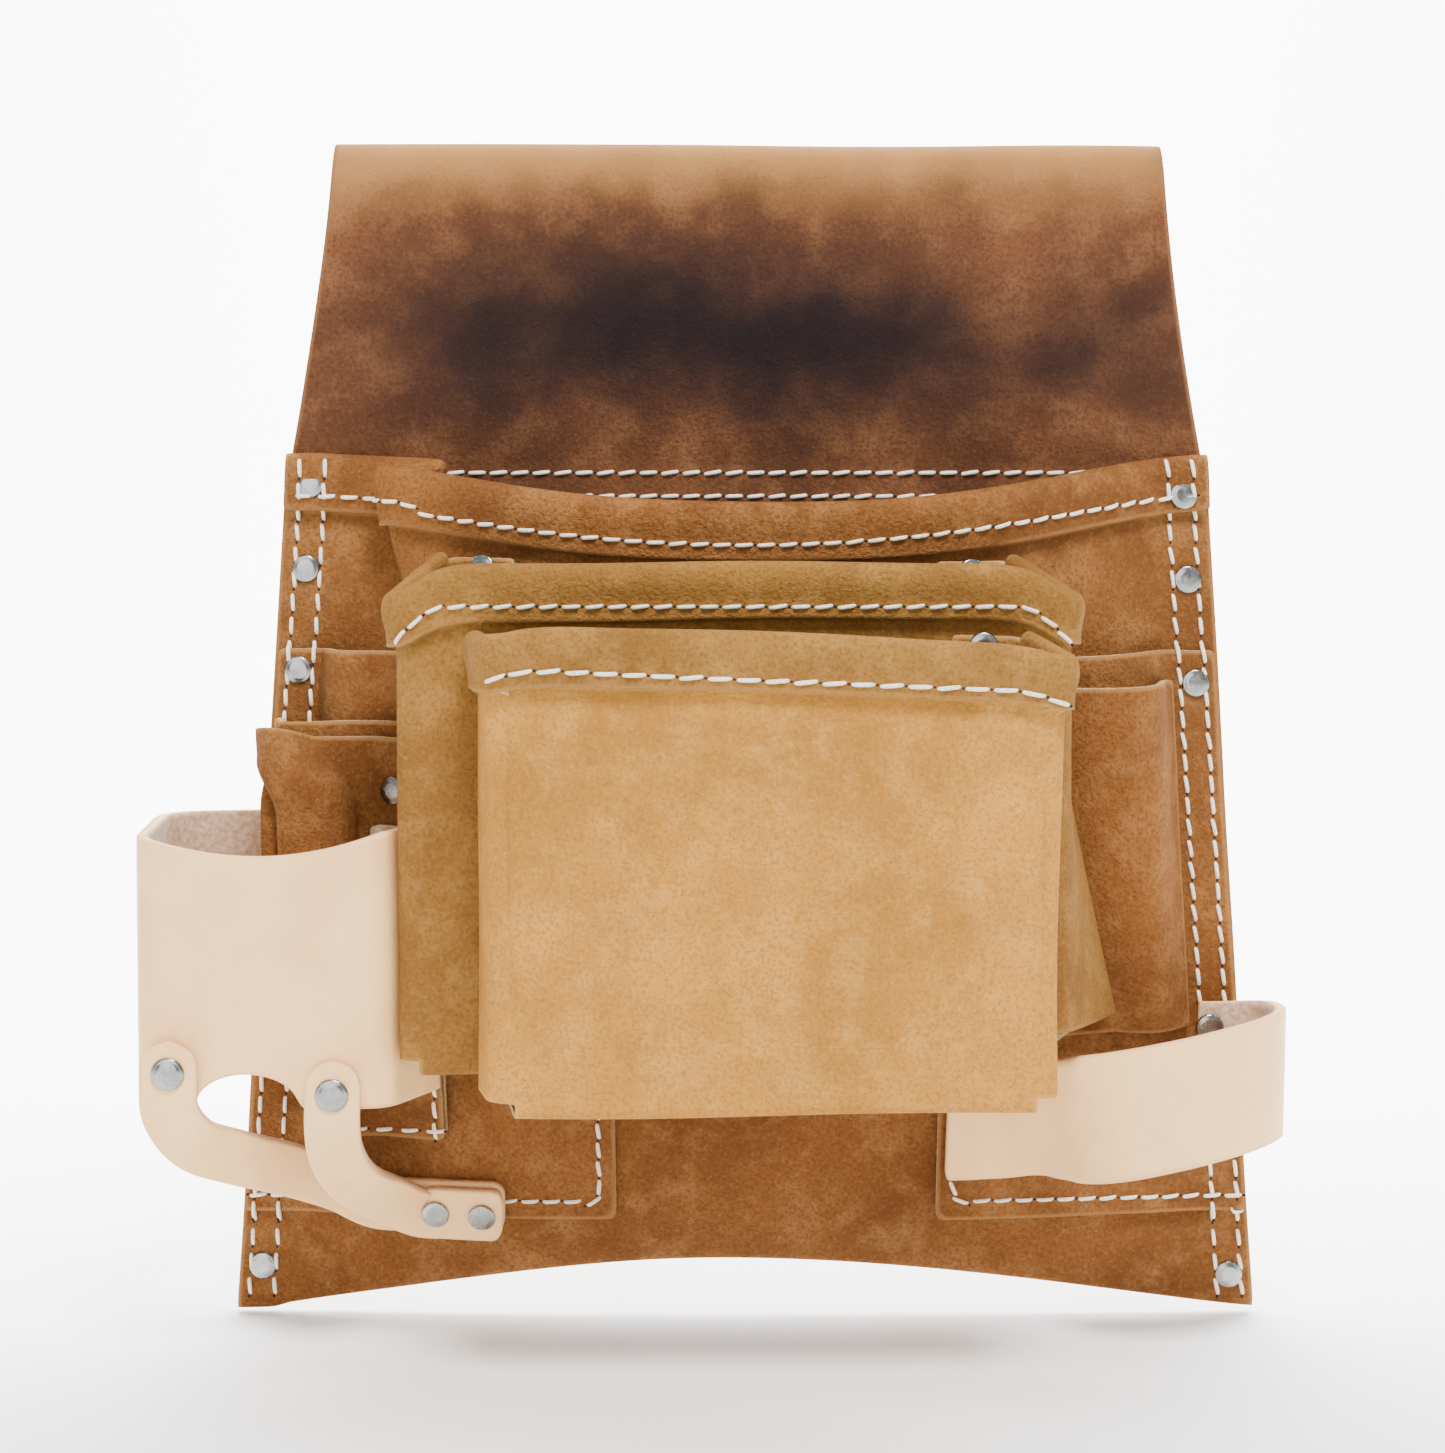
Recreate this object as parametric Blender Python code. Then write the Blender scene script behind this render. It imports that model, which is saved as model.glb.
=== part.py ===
"""Suede nail and tool bag for a carpenter's belt: a folded leather body with a belt tunnel and a
main pocket, two box nail pockets, tool pockets and slots, a square holder, a hammer loop and rivets.

Metres, +Z up. The origin is the middle of the belt tunnel, the front faces -Y and +X is to the right
of someone facing the bag. Depths below are distances forward of the origin, so y = -depth."""

from math import cos, pi, radians, sin, sqrt

import bmesh
import bpy
from mathutils import Vector

for leftover in list(bpy.data.objects):
    bpy.data.objects.remove(leftover, do_unlink=True)

MM = 0.001

# Leather and what keeps its layers apart
SUEDE = 2.0 * MM
BRIDLE = 3.0 * MM
CLEARANCE = 0.6 * MM

# Belt tunnel
TUNNEL_HEIGHT = 88.0 * MM
TUNNEL_TOP_WIDTH = 228.0 * MM
TUNNEL_DEPTH = 15.0 * MM
TUNNEL_SEAM = 12.0 * MM

# Bag body
BODY_TOP_WIDTH = 254.0 * MM
BODY_BOTTOM_WIDTH = 290.0 * MM
BODY_DROP = 283.0 * MM
BOTTOM_RISE = 14.0 * MM
SEAM_WIDTH = 14.0 * MM
MAIN_DEPTH = 33.0 * MM
DEEPEST_DROP = 100.0 * MM
MOUTH_DROP = 40.5 * MM
MOUTH_SAG = 12.0 * MM
HEM = 16.0 * MM

# Pleat at the left of the main pocket's mouth
PLEAT_X = -89.5 * MM
PLEAT_OVERLAP = 14.0 * MM
PLEAT_FLAT_DROP = 90.0 * MM
PLEAT_END_DROP = 128.0 * MM
PLEAT_RIGHT_X = -62.0 * MM
RIGHT_COLUMNS = 11

# Tool pockets, one at each side of the body
TOOL_MOUTH_DROP = 95.0 * MM
TOOL_BOTTOM_DROP = 254.0 * MM
LEFT_TOOL_INNER_X = -36.0 * MM
RIGHT_TOOL_INNER_X = 53.0 * MM
LEFT_TOOL_FLAT_X = -97.0 * MM
TOOL_BULGE = 8.0 * MM

# Nail pockets, box shaped, the front one on the rear one's face
REAR_FACE = 64.0 * MM
REAR_LEFT_X = -91.5 * MM
REAR_RIGHT_X = 83.5 * MM
REAR_TOP_DROP = 67.0 * MM
REAR_BOTTOM_DROP = 204.5 * MM
REAR_BOTTOM_TILT = 7.0 * MM
REAR_ROOT_LEFT_X = -78.0 * MM
REAR_ROOT_RIGHT_X = 66.0 * MM
REAR_ROOT_SPREAD = 34.0 * MM
REAR_LEAN = 3.0 * MM
FOOT_RISE = 5.0 * MM
FRONT_DEPTH = 28.0 * MM
FRONT_LEFT_X = -65.0 * MM
FRONT_RIGHT_X = 79.5 * MM
FRONT_TOP_DROP = 80.5 * MM
FRONT_TOP_TILT = 6.0 * MM
FRONT_BOTTOM_DROP = 209.5 * MM
FRONT_ROOT_LEFT_X = -69.0 * MM
FRONT_ROOT_RIGHT_X = 69.0 * MM
REAR_CORNER_DROOP = 9.0 * MM
FRONT_CORNER_DROOP = 3.0 * MM
FLANGE = 16.0 * MM
CORNER_RADIUS = 5.0 * MM
SLIT = 2.0 * MM

# Two slots at the left and a small pocket at the right, sewn on the tool pockets
SLOT_MOUTH_DROP = 114.0 * MM
SLOT_STAGGER = 4.0 * MM
SLOT_BOTTOM_DROP = 228.0 * MM
SLOT_LEFT_X = -117.5 * MM
SLOT_RIGHT_X = -82.0 * MM
SLOT_STAND = 1.6 * MM
SLOT_BULGE = 13.0 * MM
SLOT_OVERHANG = 7.5 * MM
SLOT_FLAT_X = -104.5 * MM
INNER_SLOT_START = 0.22
INNER_SLOT_BULGE = 7.0 * MM
SMALL_MOUTH_DROP = 103.0 * MM
SMALL_BOTTOM_DROP = 200.0 * MM
SMALL_INSET = 3.0 * MM
SMALL_BULGE = 9.0 * MM
SMALL_STAND = 3.4 * MM

# Square holder: one wide sheet looped out from the left side
HOLDER_LEFT_X = -163.0 * MM
HOLDER_TOP_DROP = 139.5 * MM
HOLDER_BOTTOM_DROP = 213.0 * MM
HOLDER_FACE = 59.0 * MM
HOLDER_STAND = 2 * (SUEDE + SLOT_STAND) + CLEARANCE
HOLDER_BACK_HEIGHT = 66.0 * MM
HOLDER_ARCH_X = -133.0 * MM
HOLDER_ARCH_HALF = 14.0 * MM
HOLDER_BEND = 5.0 * MM
HOLDER_SCOOP = 6.0 * MM
HOLDER_ARCH = 9.0 * MM
HOLDER_RIGHT_X = -97.5 * MM
HOLDER_TURN_X = -83.0 * MM
HOLDER_END_X = -96.0 * MM

# Narrow straps under the holder
NARROW_STRAP = 15.0 * MM
LEFT_STRAP_X = -153.5 * MM
RIGHT_STRAP_X = -110.0 * MM
BASE_DROP = 249.0 * MM
BASE_RIGHT_X = -67.0 * MM

# Hammer loop
LOOP_WIDTH = 35.0 * MM
LOOP_RIGHT_X = 147.0 * MM

# Rivets
RIVET_HEAD = 7.8 * MM
WIDE_RIVET_HEAD = 9.0 * MM
RIVET_SHANK = 3.2 * MM
RIVET_BURR = 6.0 * MM
RIVET_HEAD_HEIGHT = 1.2 * MM
RIVET_CLEARANCE = 0.3 * MM
RIVET_BURR_HEIGHT = 0.8 * MM
RIVET_SIDES = 8
SEAM_RIVET_DROPS = (49.0 * MM, 72.6 * MM, 101.0 * MM, 270.0 * MM)
SEAM_RIVET_STAGGER = 3.0 * MM
HOLDER_RIVET_DROPS = (157.0 * MM, 195.0 * MM)
LEFT_STRAP_RIVET_DROP = 203.5 * MM
RIGHT_STRAP_RIVET_DROP = 208.5 * MM
BASE_RIVETS_X = (-98.0 * MM, -85.0 * MM, -72.5 * MM)
LOOP_RIVET_DROPS = (200.5 * MM, 221.5 * MM)
LOOP_END_DROP = 223.0 * MM
LOOP_END_RIVETS_X = (57.5 * MM, 66.0 * MM)

PANEL_BACK = CLEARANCE / 2
PANEL_FACE = PANEL_BACK + SUEDE
SEAM_FACE = PANEL_FACE + CLEARANCE + SUEDE
LAYER = SUEDE + CLEARANCE
TUNNEL_TOP = TUNNEL_HEIGHT / 2
TUNNEL_FOOT = -TUNNEL_HEIGHT / 2


def mix(a, b, t):
    return a + (b - a) * t


def ease(start, end, value):
    """0 before start, 1 after end and smooth between."""
    t = min(max((value - start) / (end - start), 0.0), 1.0)
    return t * t * (3 - 2 * t)


def spread(a, b, count):
    """`count` values from a to b, both included."""
    return [mix(a, b, i / (count - 1)) for i in range(count)]


def half_width(z):
    """Half the width of the body and of the tunnel at this height."""
    if z > TUNNEL_FOOT:
        t = (TUNNEL_TOP - z) / TUNNEL_HEIGHT
        return mix(TUNNEL_TOP_WIDTH, BODY_TOP_WIDTH, t ** 1.6) / 2
    t = (TUNNEL_FOOT - z) / (BODY_DROP + TUNNEL_FOOT)
    return mix(BODY_TOP_WIDTH, BODY_BOTTOM_WIDTH, min(t, 1.0)) / 2


def bottom_z(x):
    """Lower edge of the body, raised in the middle where the pocket is full."""
    s = min(abs(x) / (BODY_BOTTOM_WIDTH / 2), 1.0)
    return -BODY_DROP + BOTTOM_RISE * cos(s * pi / 2) ** 1.3


def face_depth(x, z):
    """Depth of the outer face of the main pocket's front."""
    s = min(abs(x) / (half_width(z) - SEAM_WIDTH), 1.0)
    fullness = (1 - s ** 3.2) ** 1.5
    low = bottom_z(x) + SUEDE
    t = min(max((-DEEPEST_DROP - z) / (-DEEPEST_DROP - low), 0.0), 1.0)
    return SEAM_FACE + MAIN_DEPTH * fullness * (1 - t * t)


def on_front(x, z, height):
    """The point at this height over the main pocket's front, along its normal."""
    step = 1 * MM
    slope_x = (face_depth(x + step, z) - face_depth(x - step, z)) / (2 * step)
    slope_z = (face_depth(x, z + step) - face_depth(x, z - step)) / (2 * step)
    normal = Vector((-slope_x, -1.0, -slope_z)).normalized()
    return Vector((x, -face_depth(x, z), z)) + normal * height


def rounded(points, radii, steps, legs):
    """The path through the points, each corner rounded and each leg given so many inner points."""
    tips = []
    for i, corner in enumerate(points):
        if i in (0, len(points) - 1):
            tips.append([corner])
            continue
        back = points[i - 1] - corner
        on = points[i + 1] - corner
        start = corner + back.normalized() * min(radii[i - 1], back.length * 0.45)
        end = corner + on.normalized() * min(radii[i - 1], on.length * 0.45)
        arc = []
        for k in range(steps + 1):
            t = k / steps
            arc.append(start * (1 - t) ** 2 + corner * (2 * t * (1 - t)) + end * t ** 2)
        tips.append(arc)
    path = list(tips[0])
    for i in range(1, len(tips)):
        inner = spread(path[-1], tips[i][0], legs[i - 1] + 2)[1:-1]
        path += inner + tips[i]
    return path


def leather(name, color, roughness):
    material = bpy.data.materials.new(name)
    material.use_nodes = True
    shader = material.node_tree.nodes["Principled BSDF"]
    shader.inputs["Base Color"].default_value = (*color, 1.0)
    shader.inputs["Roughness"].default_value = roughness
    return material


def metal(name, color, roughness):
    material = leather(name, color, roughness)
    material.node_tree.nodes["Principled BSDF"].inputs["Metallic"].default_value = 1.0
    return material


def add_object(name, bm, material):
    mesh = bpy.data.meshes.new(name)
    bmesh.ops.recalc_face_normals(bm, faces=bm.faces)
    bm.to_mesh(mesh)
    bm.free()
    mesh.materials.append(material)
    mesh.shade_smooth()
    mesh.set_sharp_from_angle(angle=radians(40))
    obj = bpy.data.objects.new(name, mesh)
    bpy.context.scene.collection.objects.link(obj)
    return obj


def lattice_normals(rows, kept):
    """Unit normal at each corner of the kept cells of a lattice, out of the sheet."""
    sums = {}
    for r, c in kept:
        across = (rows[r][c + 1] - rows[r][c]) + (rows[r + 1][c + 1] - rows[r + 1][c])
        down = (rows[r + 1][c] - rows[r][c]) + (rows[r + 1][c + 1] - rows[r][c + 1])
        normal = down.cross(across).normalized()
        for key in ((r, c), (r, c + 1), (r + 1, c), (r + 1, c + 1)):
            sums[key] = sums.get(key, Vector()) + normal
    return {key: total.normalized() for key, total in sums.items()}


def sheet(name, rows, material, thickness=SUEDE, hems=None, hemmed=None, cells=None):
    """A closed sheet of leather. `rows` is a lattice on one face; the sheet is thickened from it
    along the lattice's normals, `hems` times as thick in each row and in the `hemmed` columns.
    `cells` says which cells of the lattice are leather."""
    kept = [
        (r, c)
        for r in range(len(rows) - 1)
        for c in range(len(rows[0]) - 1)
        if cells is None or cells(r, c)
    ]
    bm = bmesh.new()
    inner, outer = {}, {}
    for (r, c), normal in lattice_normals(rows, kept).items():
        depth = thickness
        if hems and (hemmed is None or hemmed[0] <= c <= hemmed[1]):
            depth *= hems[r]
        inner[r, c] = bm.verts.new(rows[r][c])
        outer[r, c] = bm.verts.new(rows[r][c] + normal * depth)
    border = {}
    for r, c in kept:
        corners = [(r, c), (r, c + 1), (r + 1, c + 1), (r + 1, c)]
        bm.faces.new([inner[key] for key in corners])
        bm.faces.new([outer[key] for key in reversed(corners)])
        for a, b in zip(corners, corners[1:] + corners[:1]):
            if (b, a) in border:
                del border[b, a]
            else:
                border[a, b] = True
    for a, b in border:
        bm.faces.new([inner[b], inner[a], outer[a], outer[b]])
    return add_object(name, bm, material)


def hem_rows(top, hem_foot, bottom, count):
    """Fractions down a pocket's front, and how many times as thick it is there."""
    step = 0.4 * MM
    height = bottom - top
    fractions = [0.0, (hem_foot - top - step) / height, (hem_foot - top) / height]
    fractions += spread(fractions[-1], 1.0, count)[1:]
    doubled = 2 + CLEARANCE / SUEDE
    return fractions, [doubled, doubled] + [1.0] * (count)


def ribbon(name, centres, facing, half_widths, material):
    """A strap of even thickness. Its back face runs along the centres and looks away from
    `facing`, a direction for each centre."""
    rows = []
    for i, centre in enumerate(centres):
        along = (centres[min(i + 1, len(centres) - 1)] - centres[max(i - 1, 0)]).normalized()
        normal = (facing[i] - along * facing[i].dot(along)).normalized()
        side = normal.cross(along)
        rows.append([centre + side * (half_widths[i] * s) for s in (-1.0, -0.5, 0.0, 0.5, 1.0)])
    return sheet(name, rows, material, BRIDLE)


def strap_ends(centres, width, first, last):
    """Half width at each centre of a strap whose ends are rounded by these radii."""
    lengths = [0.0]
    for a, b in zip(centres, centres[1:]):
        lengths.append(lengths[-1] + (b - a).length)
    halves = []
    for length in lengths:
        half = width / 2
        for radius, away in ((first, length), (last, lengths[-1] - length)):
            if away < radius:
                inset = radius - sqrt(max(radius ** 2 - (radius - away) ** 2, 0.0))
                half = min(half, width / 2 - inset * 0.96)
        halves.append(half)
    return halves


def smooth_path(points, count):
    """`count` points evenly spread along the smooth curve through the given points."""
    dense = []
    for i in range(len(points) - 1):
        before = points[max(i - 1, 0)]
        after = points[min(i + 2, len(points) - 1)]
        a, b = points[i], points[i + 1]
        for k in range(24):
            t = k / 24
            slope_a = (b - before) / 2
            slope_b = (after - a) / 2
            dense.append(
                a * (2 * t**3 - 3 * t**2 + 1)
                + slope_a * (t**3 - 2 * t**2 + t)
                + b * (3 * t**2 - 2 * t**3)
                + slope_b * (t**3 - t**2)
            )
    dense.append(points[-1])
    lengths = [0.0]
    for a, b in zip(dense, dense[1:]):
        lengths.append(lengths[-1] + (b - a).length)
    path = []
    i = 0
    for target in spread(0.0, lengths[-1], count):
        while i < len(dense) - 2 and lengths[i + 1] < target:
            i += 1
        span = lengths[i + 1] - lengths[i]
        path.append(mix(dense[i], dense[i + 1], min((target - lengths[i]) / span, 1.0)))
    return path


# --- body -------------------------------------------------------------------------------------


def mouth_z(x, front_fold):
    """Mouth of the main pocket: it sags where it stands off the panel."""
    s = min(abs(x) / (BODY_TOP_WIDTH / 2), 1.0)
    sag = MOUTH_SAG * (1 - s * s) ** 1.5
    return -MOUTH_DROP - (sag if front_fold else sag * 0.35)


def pleated_row(z_of):
    """One row across the main pocket's front, its pleat folded as far as its height says.
    z_of(x, front_fold) is the height of the row at that place."""
    z = z_of(PLEAT_X, True)
    flat = ease(MOUTH_DROP + HEM, PLEAT_FLAT_DROP, -z)
    gone = ease(PLEAT_FLAT_DROP, PLEAT_END_DROP, -z)
    overlap = PLEAT_OVERLAP * (1 - flat)
    edge = half_width(z)
    top = on_front(PLEAT_X, z, -SUEDE)
    rise = 2 * (2 * SUEDE + CLEARANCE) + CLEARANCE
    lips = (
        (PLEAT_X + overlap / 2, rise + CLEARANCE, -9 * MM),
        (PLEAT_X + overlap / 2, CLEARANCE, -3 * MM),
        (PLEAT_X - overlap / 2, CLEARANCE * 0.9, 3 * MM),
        (PLEAT_X - overlap / 2, 0.0, 9 * MM),
    )
    seam_y = -(SEAM_FACE - SUEDE)
    seam_x = -edge + SEAM_WIDTH
    points = [Vector((seam_x, seam_y, z_of(seam_x, False)))]
    for i, (x, behind, opened) in enumerate(lips):
        folded = Vector((x, top.y + behind, z_of(x, i > 1)))
        smooth = on_front(PLEAT_X + opened, z_of(PLEAT_X + opened, True), -SUEDE)
        points.append(mix(folded, smooth, gone))
    points.append(on_front(PLEAT_RIGHT_X, z_of(PLEAT_RIGHT_X, True), -SUEDE))
    radii = [rise / 2, rise / 2, CLEARANCE / 2, CLEARANCE / 2]
    path = rounded(points, radii, 2, [3, 0, 1, 0, 2])
    left = [
        Vector((-edge, seam_y, z_of(-edge, False))),
        Vector((-edge + SEAM_WIDTH / 2, seam_y, z_of(-edge, False))),
    ]
    right = []
    for i in range(1, RIGHT_COLUMNS + 1):
        t = i / RIGHT_COLUMNS
        x = mix(PLEAT_RIGHT_X, edge - SEAM_WIDTH, t * (1.5 - t / 2))
        right.append(on_front(x, z_of(x, True), -SUEDE))
    for x in (edge - SEAM_WIDTH / 2, edge):
        right.append(Vector((x, seam_y, z_of(x, True))))
    return left + path + right


def body_rows():
    """Lattice of the whole body on the face that lies inside the main pocket and outside the
    tunnel: from the mouth down, round the fold, up the panel, over the tunnel and down again."""
    fractions, hems = hem_rows(MOUTH_DROP, MOUTH_DROP + HEM, BODY_DROP, 12)
    inner_radius = CLEARANCE / 2
    rows = []
    for fraction in fractions:

        def z_of(x, front_fold, fraction=fraction):
            top = mouth_z(x, front_fold)
            start = top - fractions[2] * (BODY_DROP - MOUTH_DROP)
            if fraction < fractions[2]:
                return top - fraction * (BODY_DROP - MOUTH_DROP)
            t = (fraction - fractions[2]) / (1 - fractions[2])
            return mix(start, bottom_z(x) + SUEDE + inner_radius, t)

        rows.append(pleated_row(z_of))
    foot = rows[-1]
    for turn in (90, 180):
        angle = radians(turn)
        rows.append([
            Vector((p.x, p.y + inner_radius * (1 - cos(angle)), p.z - inner_radius * sin(angle)))
            for p in foot
        ])
    shares = [p.x / half_width(p.z) for p in foot]
    panel_top = TUNNEL_FOOT - TUNNEL_SEAM
    for t in (0.5, 1.0):
        rows.append([
            Vector((s * half_width(mix(p.z, panel_top, t)), -PANEL_FACE, mix(p.z, panel_top, t)))
            for s, p in zip(shares, foot)
        ])
    for depth, z in tunnel_profile():
        rows.append([Vector((s * half_width(z), -depth, z)) for s in shares])
    return rows, hems + [1.0] * (len(rows) - len(hems))


def tunnel_profile():
    """Depth and height along the tunnel's outer face: up its front, over the top, down its back."""
    radius = TUNNEL_DEPTH / 2 + SUEDE
    crown = TUNNEL_TOP - radius
    span = crown - TUNNEL_FOOT
    front_swell = radius - PANEL_FACE
    points = []
    for t in (0.0, 0.15, 0.4, 0.7):
        swell = sin(t * pi / 2)
        points.append((PANEL_FACE + front_swell * swell, TUNNEL_FOOT + span * t))
    for turn in range(0, 181, 45):
        points.append((radius * cos(radians(turn)), crown + radius * sin(radians(turn))))
    for t in (0.7, 0.4, 0.15, 0.0):
        swell = sin(t * pi / 2)
        points.append((-PANEL_FACE - front_swell * swell, TUNNEL_FOOT + span * t))
    points.append((-PANEL_FACE, TUNNEL_FOOT - TUNNEL_SEAM))
    return points


# --- pockets sewn flat on the body --------------------------------------------------------------


def swell(x, z, x_from, x_to, mouth, bottom, height):
    """Height that a pocket stands off what it is sewn on, none at its sides and its foot."""
    s = (x - x_from) / (x_to - x_from)
    if not 0 < s < 1:
        return 0.0
    t = min(max((-z - mouth) / (bottom - mouth), 0.0), 1.0)
    return height * sin(pi * s) ** 1.5 * (1 - t ** 2)


def root_right(z):
    """Where the rear nail pocket's right side meets the body: further out lower down."""
    t = (-z - REAR_TOP_DROP) / (REAR_BOTTOM_DROP - REAR_TOP_DROP)
    return REAR_ROOT_RIGHT_X + REAR_ROOT_SPREAD * min(max(t, 0.0), 1.0)


def tool_swell(x, z):
    """Height of the tool pockets' inner faces over the layer under them."""
    outer = half_width(z) - SEAM_WIDTH
    if x > 0:
        low, high = root_right(z) + SUEDE, outer
    else:
        low, high = -outer, LEFT_TOOL_FLAT_X
    return swell(x, z, low, high, TOOL_MOUTH_DROP, TOOL_BOTTOM_DROP, TOOL_BULGE)


def tool_face(x, z):
    """Height of the tool pockets' outer faces over the main pocket's front."""
    return LAYER + tool_swell(x, z)


def tool_pocket(name, inner_x, material):
    side = 1 if inner_x > 0 else -1
    lattice = []
    for fraction in spread(0.0, 1.0, 15):
        z = mix(-TOOL_MOUTH_DROP, -TOOL_BOTTOM_DROP, fraction)
        outer = half_width(z) - 1 * MM
        row = []
        for t in spread(0.0, 1.0, 13):
            x = mix(inner_x, outer * side, t ** 0.85)
            row.append(on_front(x, z, CLEARANCE + tool_swell(x, z)))
        lattice.append(row if side > 0 else row[::-1])
    return sheet(name, lattice, material)


def small_right_x(z):
    """Right edge of the small right pocket, beside the side seam."""
    return half_width(z) - SEAM_WIDTH - SMALL_INSET


def small_face(x, z):
    """Height of the small right pocket's outer face over the main pocket's front."""
    low, high = root_right(z) + SUEDE, small_right_x(z) - 3 * MM
    rise = swell(x, z, low, high, SMALL_MOUTH_DROP, SMALL_BOTTOM_DROP, SMALL_BULGE)
    return tool_face(x, z) + SMALL_STAND + rise


def small_pocket(material):
    lattice = []
    for t in spread(0.0, 1.0, 15):
        z = mix(-SMALL_MOUTH_DROP, -SMALL_BOTTOM_DROP, t)
        left, right = root_right(z) - FLANGE - 2 * MM, small_right_x(z)
        lattice.append([
            on_front(x, z, small_face(x, z) - SUEDE) for x in spread(left, right, 18)
        ])
    return sheet("right_small_pocket", lattice, material)


def slot_point(s, t):
    """Inner face of the left outer slot, s across and t down. Its left edge lies on the seam at
    the mouth and moves clear of the holder's back end lower down; its right part lies flat."""
    z = mix(-SLOT_MOUTH_DROP, -SLOT_BOTTOM_DROP, t)
    left = mix(-half_width(z) + 3 * MM, SLOT_LEFT_X, ease(0.0, 0.2, t))
    x = mix(left, SLOT_RIGHT_X, s)
    out = SLOT_OVERHANG * (1 + ease(0.0, 0.2, t)) * (1 - ease(0.35, 0.8, t))
    share = min((x - left) / (SLOT_FLAT_X - left), 1.0)
    lean = out * sin(pi * share) ** 2.5
    rise = SLOT_BULGE * (1 - t ** 2) * sin(pi * share ** 0.8) ** 1.5
    base = on_front(x, z, tool_face(x, z) + SLOT_STAND)
    return base + Vector((-lean, -rise, 0.0))


def left_slots(material):
    """The outer slot, and the inner one that lies on it further in and a little lower."""
    shares = spread(0.0, 0.6, 16) + spread(0.6, 1.0, 5)[1:]
    drops = spread(0.0, 1.0, 11)
    outer = [[slot_point(s, t) for s in shares] for t in drops]
    sheet("left_outer_slot", outer, material)
    kept = [(r, c) for r in range(len(drops) - 1) for c in range(len(shares) - 1)]
    normals = lattice_normals(outer, kept)
    flat_from = (SLOT_FLAT_X - SLOT_LEFT_X) / (SLOT_RIGHT_X - SLOT_LEFT_X)
    inner = []
    for r, t in enumerate(drops):
        row = []
        for c, s in enumerate(shares):
            if s < INNER_SLOT_START:
                continue
            share = min((s - INNER_SLOT_START) / (flat_from - INNER_SLOT_START), 1.0)
            rise = INNER_SLOT_BULGE * (1 - t ** 2) * sin(pi * share) ** 1.2
            row.append(outer[r][c] + normals[r, c] * (SUEDE + SLOT_STAND + rise))
        inner.append(row)
    lower = SLOT_STAGGER * (len(drops) - 1) / (SLOT_BOTTOM_DROP - SLOT_MOUTH_DROP)
    inner[0] = [mix(a, b, lower) for a, b in zip(inner[0], inner[1])]
    sheet("left_inner_slot", inner, material)


# --- nail pockets ---------------------------------------------------------------------------------


def rear_stack(x, z):
    """Height of what the rear nail pocket's flanges are sewn on, over the main pocket's front."""
    on_tools = ease(TOOL_MOUTH_DROP - 12 * MM, TOOL_MOUTH_DROP - 3 * MM, -z)
    left = 1 - ease(LEFT_TOOL_INNER_X + 14 * MM, LEFT_TOOL_INNER_X + 28 * MM, x)
    right = ease(RIGHT_TOOL_INNER_X - 20 * MM, RIGHT_TOOL_INNER_X - 8 * MM, x)
    small_left = root_right(z) - FLANGE - 2 * MM
    on_small = ease(SMALL_MOUTH_DROP - 15 * MM, SMALL_MOUTH_DROP - 6 * MM, -z)
    on_small *= 1 - ease(SMALL_BOTTOM_DROP + 2 * MM, SMALL_BOTTOM_DROP + 5 * MM, -z)
    on_small *= ease(small_left - 12 * MM, small_left - 2 * MM, x)
    return LAYER * on_tools * max(left, right) + SMALL_STAND * on_small


def rear_ground(x, z):
    return on_front(x, z, rear_stack(x, z) + LAYER + CLEARANCE)


def rear_face_y(z):
    """The rear nail pocket's front leans back a little towards its foot."""
    t = (-z - REAR_TOP_DROP) / (REAR_BOTTOM_DROP - REAR_TOP_DROP)
    return -(REAR_FACE - REAR_LEAN * t)


def front_ground(x, z):
    return Vector((x, rear_face_y(z) - SUEDE - LAYER, z))


def front_face_y(z):
    return rear_face_y(z) - SUEDE - FRONT_DEPTH


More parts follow.
